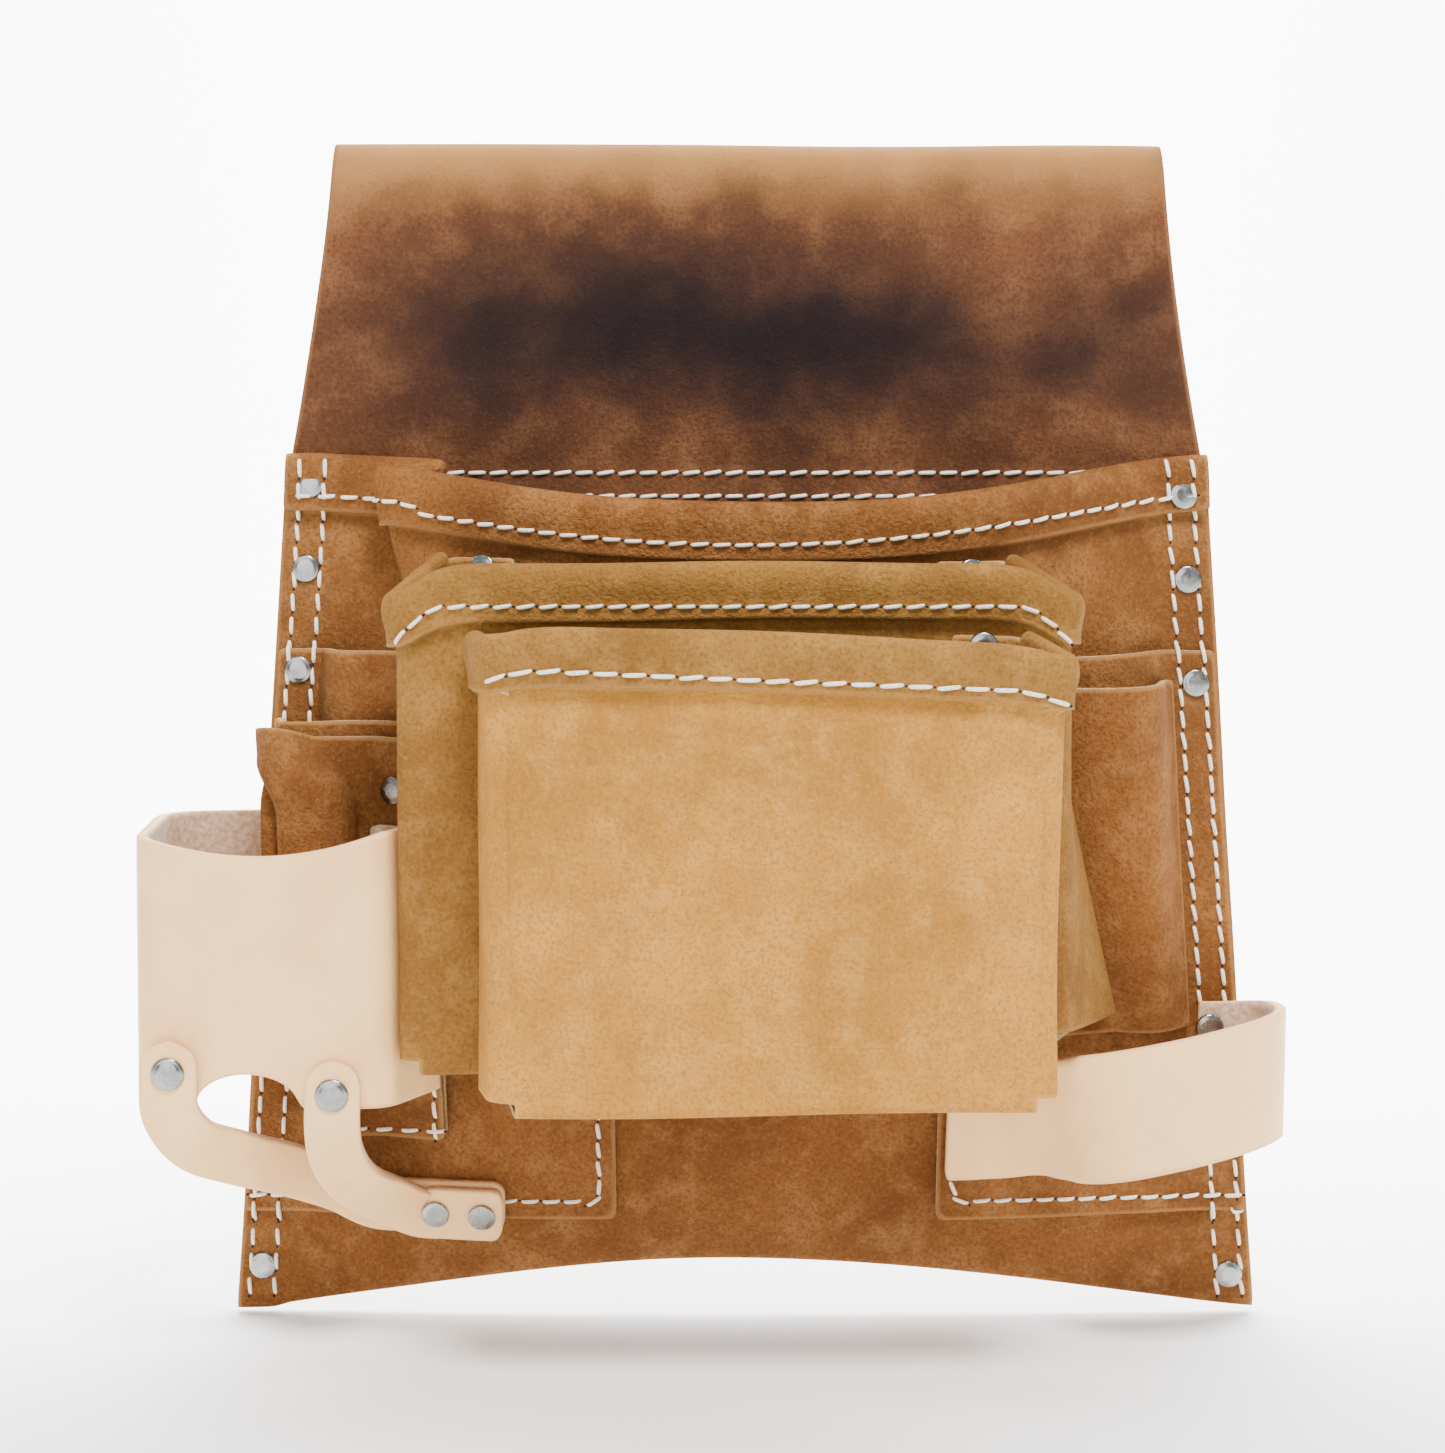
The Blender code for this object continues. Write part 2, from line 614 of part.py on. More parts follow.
def box_pocket(name, ground, face_y, roots, sides, tops, bottoms, droop, material):
    """A pocket folded from one cross-shaped piece: a front, two sides and a foot that fold back
    and end in flanges turned in on what the pocket is sewn on. `roots` gives the x where its left
    and right sides meet that ground, at a height. `tops` holds its mouth's heights at the
    flanges and at the left and right of its front, `bottoms` those of its foot, and `droop` how
    far its front's top corners sit lower."""
    left, right = sides
    flange_top, left_top, right_top = tops
    left_foot, right_foot = bottoms
    corner = 12 * MM
    steps = 2

    def slanted(x, at_left, at_right):
        return mix(at_left, at_right, (x - left) / (right - left))

    def front_row(t, turn_z):
        controls = []
        for end, inward in ((0, 1), (1, -1)):
            side_x = sides[end]
            foot = slanted(side_x, left_foot, right_foot)
            top = slanted(side_x, left_top, right_top)
            flange_z = mix(flange_top, foot + FLANGE + 2 * SLIT, t)
            root_z = mix(flange_top, foot + 2 * SLIT, t)
            flange_x = roots(flange_z)[end] + inward * FLANGE
            root_x = roots(root_z)[end]
            inner_x = side_x + inward * corner
            face = [
                ground(flange_x, flange_z),
                ground(root_x, root_z),
                Vector((side_x, 0, mix(top - droop, foot + turn_z, t))),
                Vector((inner_x, 0, mix(slanted(inner_x, left_top, right_top),
                                        slanted(inner_x, left_foot, right_foot) + turn_z, t))),
            ]
            for point in face[2:]:
                point.y = face_y(point.z)
            controls.append(face)
        path = controls[0] + controls[1][::-1]
        radii = [3 * MM, CORNER_RADIUS, 3 * MM, 3 * MM, CORNER_RADIUS, 3 * MM]
        return rounded(path, radii, steps, [1, 1, 0, 3, 0, 1, 1])

    height = left_top - left_foot
    fractions, hems = hem_rows(0.0, HEM, height, 8)
    rows = [front_row(t, CORNER_RADIUS) for t in fractions]
    count_front = len(rows)
    first = 2 * (steps + 2)
    last = len(rows[0]) - 1 - first
    feet = []
    for c, start in enumerate(rows[-1]):
        share = (start.x - rows[-1][first].x) / (rows[-1][last].x - rows[-1][first].x)
        share = min(max(share, 0.0), 1.0)
        foot_z = slanted(start.x, left_foot, right_foot) + SUEDE
        heel_z = foot_z + FOOT_RISE
        root_left, root_far = roots(heel_z)
        heel_x = mix(root_left + SLIT + SUEDE, root_far - SLIT - SUEDE, share)
        inset = FLANGE + SLIT + SUEDE
        flange_x = mix(root_left + inset, root_far - inset, share)
        path = [
            start,
            Vector((start.x, face_y(foot_z), foot_z)),
            ground(heel_x, heel_z),
            ground(flange_x, heel_z + FLANGE - 2 * SLIT),
        ]
        feet.append(rounded(path, [CORNER_RADIUS, 2 * MM], 3, [0, 2, 1])[1:])
    for r in range(len(feet[0])):
        rows.append([feet[c][r] for c in range(len(feet))])

    def cells(r, c):
        return r < count_front - 1 or first <= c < last

    hems += [1.0] * (len(rows) - len(hems))
    hemmed = (steps + 2, len(rows[0]) - steps - 3)
    return sheet(name, rows, material, hems=hems, hemmed=hemmed, cells=cells)


def nail_pockets(rear_material, front_material):
    box_pocket(
        "rear_nail_pocket",
        rear_ground,
        rear_face_y,
        lambda z: (REAR_ROOT_LEFT_X, root_right(z)),
        (REAR_LEFT_X, REAR_RIGHT_X),
        (-REAR_TOP_DROP + 1 * MM, -REAR_TOP_DROP, -REAR_TOP_DROP),
        (-REAR_BOTTOM_DROP, -REAR_BOTTOM_DROP + REAR_BOTTOM_TILT),
        REAR_CORNER_DROOP,
        rear_material,
    )
    box_pocket(
        "front_nail_pocket",
        front_ground,
        front_face_y,
        lambda z: (FRONT_ROOT_LEFT_X, FRONT_ROOT_RIGHT_X),
        (FRONT_LEFT_X, FRONT_RIGHT_X),
        (-REAR_TOP_DROP - HEM - 1.2 * MM, -FRONT_TOP_DROP, -FRONT_TOP_DROP - FRONT_TOP_TILT),
        (-FRONT_BOTTOM_DROP, -FRONT_BOTTOM_DROP + 1 * MM),
        FRONT_CORNER_DROOP,
        front_material,
    )


# --- square holder and its straps ---------------------------------------------------------------


def holder_edges(x, front):
    """Top and bottom height of the square holder's sheet: scooped above, arched below."""
    if not front:
        return -HOLDER_TOP_DROP, -HOLDER_TOP_DROP - HOLDER_BACK_HEIGHT
    middle = (HOLDER_LEFT_X + HOLDER_RIGHT_X) / 2
    half = (HOLDER_RIGHT_X - HOLDER_LEFT_X) / 2
    s = min(abs(x - middle) / half, 1.0)
    top = -HOLDER_TOP_DROP - HOLDER_SCOOP * (1 - s * s)
    arch = max(1 - ((x - HOLDER_ARCH_X) / HOLDER_ARCH_HALF) ** 2, 0.0)
    return top, -HOLDER_BOTTOM_DROP + HOLDER_ARCH * sqrt(arch)


def holder_end(x, z):
    """Inner face of the holder's right end, which lies on the slots."""
    return on_front(x, z, tool_face(x, z) + HOLDER_STAND + BRIDLE)


def square_holder(material):
    rows = []
    inner_left = HOLDER_LEFT_X + BRIDLE
    face_y = -(HOLDER_FACE - BRIDLE)
    for t in spread(0.0, 1.0, 8):
        z = mix(-HOLDER_TOP_DROP, -HOLDER_BOTTOM_DROP, t)
        back_y = -(SEAM_FACE + LAYER + CLEARANCE + BRIDLE)
        end = holder_end(HOLDER_TURN_X, z)
        controls = [
            Vector((SEAM_WIDTH - 1 * MM - half_width(z), back_y, z)),
            Vector((inner_left, back_y, z)),
            Vector((inner_left, face_y, z)),
            Vector((HOLDER_RIGHT_X, face_y, z)),
            end,
            holder_end(HOLDER_END_X, z),
        ]
        radii = [2 * HOLDER_BEND, HOLDER_BEND, HOLDER_BEND, 2 * MM]
        path = rounded(controls, radii, 3, [3, 3, 12, 2, 1])
        for i, point in enumerate(path):
            top, bottom = holder_edges(point.x, 9 <= i)
            point.z = mix(top, bottom, t)
        sewn = path[-1].z
        path[-2:] = [holder_end(mix(HOLDER_TURN_X, HOLDER_END_X, 0.5), sewn)]
        path.append(holder_end(HOLDER_END_X, sewn))
        rows.append(path)
    return sheet("square_holder", rows, material, BRIDLE)


def strap_base(x, height):
    """A point over the foot of the left tool pocket, where both narrow straps end."""
    return on_front(x, -BASE_DROP, LAYER + 3 * CLEARANCE + height)


def narrow_strap(name, points, base_from, base_height, material):
    """A strap from the holder's face down to the base: the points are x, depth and height."""
    route = [Vector((x, -depth, z)) for x, depth, z in points]
    route += [strap_base(x, base_height) for x in spread(base_from, BASE_RIGHT_X, 4)]
    centres = smooth_path(route, 34)
    ground = normal_at(base_from, -BASE_DROP)
    facing = []
    for centre in centres:
        near = ease(base_from - 16 * MM, base_from - 2 * MM, centre.x)
        facing.append(mix(Vector((0, -1, 0)), ground, near))
    halves = strap_ends(centres, NARROW_STRAP, NARROW_STRAP / 2, 3 * MM)
    return ribbon(name, centres, facing, halves, material)


def holder_straps(material):
    face = HOLDER_FACE + CLEARANCE
    left_x, right_x = LEFT_STRAP_X, RIGHT_STRAP_X
    narrow_strap(
        "holder_strap_left",
        (
            (left_x, face, -195 * MM),
            (left_x, face, -206 * MM),
            (left_x + 0.5 * MM, face, -214.5 * MM),
            (left_x + 6 * MM, face - 4 * MM, -223 * MM),
            (left_x + 16 * MM, face - 14 * MM, -229 * MM),
            (left_x + 28 * MM, face - 26 * MM, -235 * MM),
            (left_x + 40 * MM, face - 39 * MM, -242.5 * MM),
        ),
        -103 * MM,
        0.0,
        material,
    )
    narrow_strap(
        "holder_strap_right",
        (
            (right_x, face, -199.5 * MM),
            (right_x, face, -210 * MM),
            (right_x, face, -217 * MM),
            (right_x + 0.5 * MM, face - 4.5 * MM, -225 * MM),
            (right_x + 2.5 * MM, face - 13.5 * MM, -233 * MM),
            (right_x + 6 * MM, face - 25 * MM, -240 * MM),
            (right_x + 11.5 * MM, face - 34.5 * MM, -245.5 * MM),
        ),
        -90 * MM,
        BRIDLE + 2 * CLEARANCE,
        material,
    )


# --- hammer loop ----------------------------------------------------------------------------------


def hammer_loop(material):
    back = SEAM_FACE + LAYER + CLEARANCE + BRIDLE
    right = LOOP_RIGHT_X - BRIDLE
    route = [
        Vector((half_width(-211 * MM) - SEAM_WIDTH + 1 * MM, -back, -211 * MM)),
        Vector((right - 8 * MM, -back, -211 * MM)),
        Vector((right - 2 * MM, -back - 4 * MM, -210 * MM)),
        Vector((right, -back - 14 * MM, -208.5 * MM)),
        Vector((right - 1 * MM, -back - 28 * MM, -207.5 * MM)),
        Vector((right - 9 * MM, -back - 38 * MM, -208.5 * MM)),
        Vector((right - 24 * MM, -back - 42 * MM, -212 * MM)),
        Vector((right - 42 * MM, -back - 39 * MM, -216.5 * MM)),
        Vector((right - 54 * MM, -back - 31 * MM, -219.5 * MM)),
        Vector((right - 63 * MM, -back - 20 * MM, -222 * MM)),
    ]
    for x in (71 * MM, 63 * MM, 55 * MM):
        route.append(on_front(x, -LOOP_END_DROP, LAYER + 2 * CLEARANCE))
    centres = smooth_path(route, 44)
    end = normal_at(LOOP_END_RIVETS_X[0], -LOOP_END_DROP)
    facing = []
    for i, centre in enumerate(centres):
        along = centres[min(i + 1, len(centres) - 1)] - centres[max(i - 1, 0)]
        outward = Vector((-along.y, along.x, 0)).normalized()
        far = ease(72 * MM, 106 * MM, centre.x) if i > len(centres) / 2 else 1.0
        facing.append(mix(end, outward, far))
    halves = [LOOP_WIDTH / 2] * len(centres)
    return ribbon("hammer_loop", centres, facing, halves, material)


# --- rivets ---------------------------------------------------------------------------------------


def turned(bm, profile, base, axis):
    """Adds the closed body turned from (radius, height) points about the axis through base."""
    turn = Vector((0, 0, 1)).rotation_difference(axis).to_matrix()
    rings = []
    for radius, height in profile:
        if radius == 0:
            rings.append([bm.verts.new(base + axis * height)])
            continue
        ring = []
        for k in range(RIVET_SIDES):
            angle = 2 * pi * k / RIVET_SIDES
            spoke = Vector((radius * cos(angle), radius * sin(angle), height))
            ring.append(bm.verts.new(base + turn @ spoke))
        rings.append(ring)
    for upper, lower in zip(rings, rings[1:]):
        for k in range(RIVET_SIDES):
            k_next = (k + 1) % RIVET_SIDES
            corners = [upper[k % len(upper)], lower[k % len(lower)]]
            corners += [lower[k_next % len(lower)], upper[k_next % len(upper)]]
            bm.faces.new(dict.fromkeys(corners))


cutters = {}


def rivet(name, top, axis, grip, through, material, head=RIVET_HEAD):
    """A rivet set through the named sheets: its head's underside at `top`, its burr `grip` below."""
    head_radius = head / 2
    shank = RIVET_SHANK / 2
    burr = RIVET_BURR / 2
    low = -grip - RIVET_CLEARANCE
    high = RIVET_CLEARANCE + RIVET_HEAD_HEIGHT
    profile = [
        (0, high),
        (head_radius * 0.7, high - RIVET_HEAD_HEIGHT * 0.15),
        (head_radius, high - RIVET_HEAD_HEIGHT * 0.6),
        (head_radius, RIVET_CLEARANCE),
        (shank, RIVET_CLEARANCE),
        (shank, low),
        (burr, low),
        (burr, low - RIVET_BURR_HEIGHT),
        (0, low - RIVET_BURR_HEIGHT),
    ]
    bm = bmesh.new()
    turned(bm, profile, top, axis)
    add_object(name, bm, material)
    reach = 1.5 * MM
    hole = shank + RIVET_CLEARANCE
    for sheet_name in through:
        cutters.setdefault(sheet_name, []).append((top, axis, reach, -grip - reach, hole))


def drill(material):
    """Cuts the rivet holes: one cutter for each sheet, holding all of its holes."""
    for sheet_name, holes in cutters.items():
        bm = bmesh.new()
        for top, axis, above, below, radius in holes:
            turned(bm, [(0, above), (radius, above), (radius, below), (0, below)], top, axis)
        cutter = add_object("cut_" + sheet_name, bm, material)
        cutter.hide_render = True
        cutter.display_type = "WIRE"
        cut = bpy.data.objects[sheet_name].modifiers.new("rivet_holes", "BOOLEAN")
        cut.operation = "DIFFERENCE"
        cut.solver = "EXACT"
        cut.object = cutter


def normal_at(x, z):
    return (on_front(x, z, 1 * MM) - on_front(x, z, 0.0)).normalized()


def seam_rivets(material):
    """Four down each side seam: in the hem, below it, at the tool pocket's mouth and at the foot."""
    forward = Vector((0, -1, 0))
    for side, sign, stagger in (("left", -1, 0.0), ("right", 1, SEAM_RIVET_STAGGER)):
        for i, drop in enumerate(SEAM_RIVET_DROPS):
            z = -drop - stagger
            face = SEAM_FACE
            through = ["bag_body"]
            grip = face - PANEL_BACK
            if i == 0:
                face += SUEDE + CLEARANCE
                grip = face + PANEL_FACE
            if i == 2:
                face += LAYER
                grip += LAYER
                through.append(side + "_tool_pocket")
            x = sign * (half_width(z) - SEAM_WIDTH / 2)
            name = f"seam_rivet_{side}_{i + 1}"
            rivet(name, Vector((x, -face, z)), forward, grip, through, material)


def pocket_rivets(material):
    """At the upper corners of the nail pockets' flanges, and at the slots' mouth."""
    z = -REAR_TOP_DROP - 4 * MM
    for side, x in (
        ("left", REAR_ROOT_LEFT_X + FLANGE / 2),
        ("right", root_right(z) - FLANGE / 2),
    ):
        top = rear_ground(x, z)
        grip = rear_stack(x, z) + LAYER + CLEARANCE + SUEDE
        name = f"rear_pocket_rivet_{side}"
        through = ["rear_nail_pocket", "bag_body"]
        rivet(name, top, normal_at(x, z), grip, through, material)
    z = -REAR_TOP_DROP - HEM - 6 * MM
    for side, x in (
        ("left", FRONT_ROOT_LEFT_X + FLANGE / 2),
        ("right", FRONT_ROOT_RIGHT_X - FLANGE / 2),
    ):
        name = f"front_pocket_rivet_{side}"
        through = ["front_nail_pocket", "rear_nail_pocket"]
        grip = 2 * SUEDE + CLEARANCE
        rivet(name, front_ground(x, z), Vector((0, -1, 0)), grip, through, material)
    x, z = (SLOT_FLAT_X + SLOT_RIGHT_X) / 2 + 2 * MM, -SLOT_MOUTH_DROP - 18 * MM
    grip = 2 * (SUEDE + SLOT_STAND) + CLEARANCE / 2 + SUEDE
    top = on_front(x, z, LAYER + grip - SUEDE)
    grip += LAYER
    through = ["left_inner_slot", "left_outer_slot", "left_tool_pocket", "bag_body"]
    rivet("slot_rivet", top, normal_at(x, z), grip, through, material)


def holder_rivets(material):
    """Two at each end of the square holder, one at the top of each narrow strap, three at the base."""
    forward = Vector((0, -1, 0))
    back = SEAM_FACE + LAYER + CLEARANCE + BRIDLE
    for i, drop in enumerate(HOLDER_RIVET_DROPS):
        z = -drop
        x = -half_width(z) + SEAM_WIDTH / 2
        through = ["square_holder", "left_tool_pocket", "bag_body"]
        top = Vector((x, -back, z))
        name = f"holder_back_rivet_{i + 1}"
        rivet(name, top, forward, back - PANEL_BACK, through, material, WIDE_RIVET_HEAD)
        x = (HOLDER_TURN_X + HOLDER_END_X) / 2
        through = ["square_holder", "left_inner_slot", "left_outer_slot", "left_tool_pocket"]
        through.append("bag_body")
        grip = LAYER + HOLDER_STAND + BRIDLE + SUEDE
        name = f"holder_end_rivet_{i + 1}"
        rivet(name, holder_end(x, z), normal_at(x, z), grip, through, material)
    for side, x, drop in (
        ("left", LEFT_STRAP_X, LEFT_STRAP_RIVET_DROP),
        ("right", RIGHT_STRAP_X, RIGHT_STRAP_RIVET_DROP),
    ):
        top = Vector((x, -HOLDER_FACE - CLEARANCE - BRIDLE, -drop))
        through = ["square_holder", "holder_strap_" + side]
        grip = 2 * BRIDLE + CLEARANCE
        name = f"strap_rivet_{side}"
        rivet(name, top, forward, grip, through, material, WIDE_RIVET_HEAD)
    for i, x in enumerate(BASE_RIVETS_X):
        through = ["holder_strap_left", "left_tool_pocket", "bag_body"]
        height = BRIDLE
        if i > 0:
            through.append("holder_strap_right")
            height = 2 * BRIDLE + 2 * CLEARANCE
        grip = height + 3 * CLEARANCE + LAYER + SUEDE
        top = strap_base(x, height)
        name = f"strap_base_rivet_{i + 1}"
        rivet(name, top, normal_at(x, -BASE_DROP), grip, through, material)


def loop_rivets(material):
    """Two at each end of the hammer loop."""
    back = SEAM_FACE + LAYER + CLEARANCE + BRIDLE
    for i, drop in enumerate(LOOP_RIVET_DROPS):
        z = -drop
        x = half_width(z) - SEAM_WIDTH / 2 - 2 * MM
        through = ["hammer_loop", "right_tool_pocket", "bag_body"]
        name = f"loop_back_rivet_{i + 1}"
        top = Vector((x, -back, z))
        rivet(name, top, Vector((0, -1, 0)), back - PANEL_BACK, through, material)
    for i, x in enumerate(LOOP_END_RIVETS_X):
        z = -LOOP_END_DROP + LOOP_WIDTH / 4
        through = ["hammer_loop", "right_tool_pocket", "bag_body"]
        top = on_front(x, z, LAYER + 2 * CLEARANCE + BRIDLE)
        grip = LAYER + 2 * CLEARANCE + BRIDLE + SUEDE
        rivet(f"loop_end_rivet_{i + 1}", top, normal_at(x, z), grip, through, material)


def build():
    brown = leather("brown_suede", (0.27, 0.12, 0.04), 0.9)
    tan = leather("tan_suede", (0.38, 0.20, 0.07), 0.9)
    golden = leather("golden_suede", (0.52, 0.33, 0.12), 0.9)
    bridle = leather("undyed_bridle_leather", (0.93, 0.76, 0.58), 0.6)
    nickel = metal("nickel_plate", (0.75, 0.76, 0.76), 0.25)
    lattice, doubled = body_rows()
    sheet("bag_body", lattice, brown, hems=doubled)
    tool_pocket("left_tool_pocket", LEFT_TOOL_INNER_X, brown)
    tool_pocket("right_tool_pocket", RIGHT_TOOL_INNER_X, brown)
    left_slots(brown)
    small_pocket(brown)
    nail_pockets(tan, golden)
    square_holder(bridle)
    holder_straps(bridle)
    hammer_loop(bridle)
    seam_rivets(nickel)
    pocket_rivets(nickel)
    holder_rivets(nickel)
    loop_rivets(nickel)
    drill(nickel)


build()
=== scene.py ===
"""Suede nail and tool bag for a carpenter's belt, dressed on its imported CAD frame."""

from math import cos, pi, radians, sin, sqrt

import bmesh
import bpy
from bpy.props import FloatProperty, FloatVectorProperty, PointerProperty
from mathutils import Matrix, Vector, kdtree, noise
from mathutils.bvhtree import BVHTree


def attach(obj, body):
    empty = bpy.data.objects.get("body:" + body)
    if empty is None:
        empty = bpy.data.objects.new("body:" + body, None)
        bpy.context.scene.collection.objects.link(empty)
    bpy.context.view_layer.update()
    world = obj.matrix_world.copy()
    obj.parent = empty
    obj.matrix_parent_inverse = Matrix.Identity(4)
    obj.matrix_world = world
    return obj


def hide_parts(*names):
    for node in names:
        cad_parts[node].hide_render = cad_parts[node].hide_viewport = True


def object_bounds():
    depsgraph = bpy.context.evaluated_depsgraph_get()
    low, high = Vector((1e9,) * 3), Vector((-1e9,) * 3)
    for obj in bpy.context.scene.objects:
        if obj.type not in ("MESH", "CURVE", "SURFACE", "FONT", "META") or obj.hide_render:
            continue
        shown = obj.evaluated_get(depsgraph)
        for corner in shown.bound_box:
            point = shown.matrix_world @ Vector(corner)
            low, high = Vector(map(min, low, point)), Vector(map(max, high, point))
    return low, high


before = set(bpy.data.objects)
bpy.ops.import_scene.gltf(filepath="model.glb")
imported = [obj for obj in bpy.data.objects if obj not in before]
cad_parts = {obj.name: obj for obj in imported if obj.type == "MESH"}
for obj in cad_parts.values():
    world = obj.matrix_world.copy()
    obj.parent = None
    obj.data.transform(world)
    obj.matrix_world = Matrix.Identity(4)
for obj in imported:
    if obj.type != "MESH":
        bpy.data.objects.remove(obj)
CAD_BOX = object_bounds()

bl_info = {
    "name": "Suede nail and tool bag",
    "version": (1, 0, 0),
    "blender": (4, 5, 0),
    "location": "View3D > Sidebar > Tool bag",
    "description": "Makes the leather pieces, stitching and rivets of a carpenter's nail and tool bag",
    "category": "Object",
}

MM = 0.001

# Without a seed of its own the noise takes the time of day, and no two runs are alike
SETTLE_SEED = 7

# Leather and what keeps its layers apart
SUEDE = 2.0 * MM
BRIDLE = 3.0 * MM
CLEARANCE = 0.6 * MM

# Belt tunnel
TUNNEL_HEIGHT = 88.0 * MM
TUNNEL_TOP_WIDTH = 228.0 * MM
TUNNEL_DEPTH = 15.0 * MM
TUNNEL_SEAM = 12.0 * MM

# Bag body
BODY_TOP_WIDTH = 254.0 * MM
BODY_BOTTOM_WIDTH = 290.0 * MM
BODY_DROP = 283.0 * MM
BOTTOM_RISE = 14.0 * MM
SEAM_WIDTH = 14.0 * MM
MAIN_DEPTH = 33.0 * MM
DEEPEST_DROP = 100.0 * MM
MOUTH_DROP = 40.5 * MM
MOUTH_SAG = 12.0 * MM
HEM = 16.0 * MM

# Pleat at the left of the main pocket's mouth
PLEAT_X = -89.5 * MM
PLEAT_OVERLAP = 14.0 * MM
PLEAT_FLAT_DROP = 90.0 * MM
PLEAT_END_DROP = 128.0 * MM
PLEAT_RIGHT_X = -62.0 * MM

# Tool pockets, one at each side of the body
TOOL_MOUTH_DROP = 95.0 * MM
TOOL_BOTTOM_DROP = 254.0 * MM
LEFT_TOOL_INNER_X = -36.0 * MM
RIGHT_TOOL_INNER_X = 53.0 * MM
LEFT_TOOL_FLAT_X = -97.0 * MM
TOOL_BULGE = 8.0 * MM

# Nail pockets, box shaped, the front one on the rear one's face
REAR_FACE = 64.0 * MM
REAR_LEFT_X = -91.5 * MM
REAR_RIGHT_X = 83.5 * MM
REAR_TOP_DROP = 67.0 * MM
REAR_BOTTOM_DROP = 204.5 * MM
REAR_BOTTOM_TILT = 7.0 * MM
REAR_ROOT_LEFT_X = -78.0 * MM
REAR_ROOT_RIGHT_X = 66.0 * MM
REAR_ROOT_SPREAD = 34.0 * MM
REAR_LEAN = 3.0 * MM
FOOT_RISE = 5.0 * MM
FRONT_DEPTH = 28.0 * MM
FRONT_LEFT_X = -65.0 * MM
FRONT_RIGHT_X = 79.5 * MM
FRONT_TOP_DROP = 80.5 * MM
FRONT_TOP_TILT = 6.0 * MM
FRONT_BOTTOM_DROP = 209.5 * MM
FRONT_ROOT_LEFT_X = -69.0 * MM
FRONT_ROOT_RIGHT_X = 69.0 * MM
REAR_CORNER_DROOP = 9.0 * MM
FRONT_CORNER_DROOP = 3.0 * MM
FLANGE = 16.0 * MM
CORNER_RADIUS = 5.0 * MM
SLIT = 2.0 * MM

# Two slots at the left and a small pocket at the right, sewn on the tool pockets
SLOT_MOUTH_DROP = 114.0 * MM
SLOT_STAGGER = 4.0 * MM
SLOT_BOTTOM_DROP = 228.0 * MM
SLOT_LEFT_X = -117.5 * MM
SLOT_RIGHT_X = -82.0 * MM
SLOT_STAND = 1.6 * MM
SLOT_BULGE = 13.0 * MM
SLOT_OVERHANG = 7.5 * MM
SLOT_FLAT_X = -104.5 * MM
INNER_SLOT_START = 0.22
INNER_SLOT_BULGE = 7.0 * MM
SMALL_MOUTH_DROP = 103.0 * MM
SMALL_BOTTOM_DROP = 200.0 * MM
SMALL_INSET = 3.0 * MM
SMALL_BULGE = 9.0 * MM
SMALL_STAND = 3.4 * MM

# Square holder: one wide sheet looped out from the left side
HOLDER_LEFT_X = -163.0 * MM
HOLDER_TOP_DROP = 139.5 * MM
HOLDER_BOTTOM_DROP = 213.0 * MM
HOLDER_FACE = 59.0 * MM
HOLDER_STAND = 2 * (SUEDE + SLOT_STAND) + CLEARANCE
HOLDER_BACK_HEIGHT = 66.0 * MM
HOLDER_ARCH_X = -133.0 * MM
HOLDER_ARCH_HALF = 14.0 * MM
HOLDER_BEND = 5.0 * MM
HOLDER_SCOOP = 6.0 * MM
HOLDER_ARCH = 9.0 * MM
HOLDER_RIGHT_X = -97.5 * MM
HOLDER_TURN_X = -83.0 * MM
HOLDER_END_X = -96.0 * MM

# Narrow straps under the holder
NARROW_STRAP = 15.0 * MM
LEFT_STRAP_X = -153.5 * MM
RIGHT_STRAP_X = -110.0 * MM
BASE_DROP = 249.0 * MM
BASE_RIGHT_X = -67.0 * MM

# Hammer loop
LOOP_WIDTH = 35.0 * MM
LOOP_RIGHT_X = 147.0 * MM

# Rivets
RIVET_HEAD = 7.8 * MM
WIDE_RIVET_HEAD = 9.0 * MM
RIVET_SHANK = 3.2 * MM
RIVET_BURR = 6.0 * MM
SEAM_RIVET_DROPS = (49.0 * MM, 72.6 * MM, 101.0 * MM, 270.0 * MM)
SEAM_RIVET_STAGGER = 3.0 * MM
HOLDER_RIVET_DROPS = (157.0 * MM, 195.0 * MM)
LEFT_STRAP_RIVET_DROP = 203.5 * MM
RIGHT_STRAP_RIVET_DROP = 208.5 * MM
BASE_RIVETS_X = (-98.0 * MM, -85.0 * MM, -72.5 * MM)
LOOP_RIVET_DROPS = (200.5 * MM, 221.5 * MM)
LOOP_END_DROP = 223.0 * MM
LOOP_END_RIVETS_X = (57.5 * MM, 66.0 * MM)

# Stitching: how far the rows run from the edges they follow
SIDE_ROWS = (4.0 * MM, 11.0 * MM)
TUNNEL_ROWS = (2.0 * MM, 8.5 * MM)
SIDE_ROW_FOOT = 7.0 * MM
POCKET_ROW = 5.0 * MM
HEM_ROW = 4.5 * MM
GUIDE_STEP = 1.5 * MM
LARGEST_JUMP = 5.0 * MM

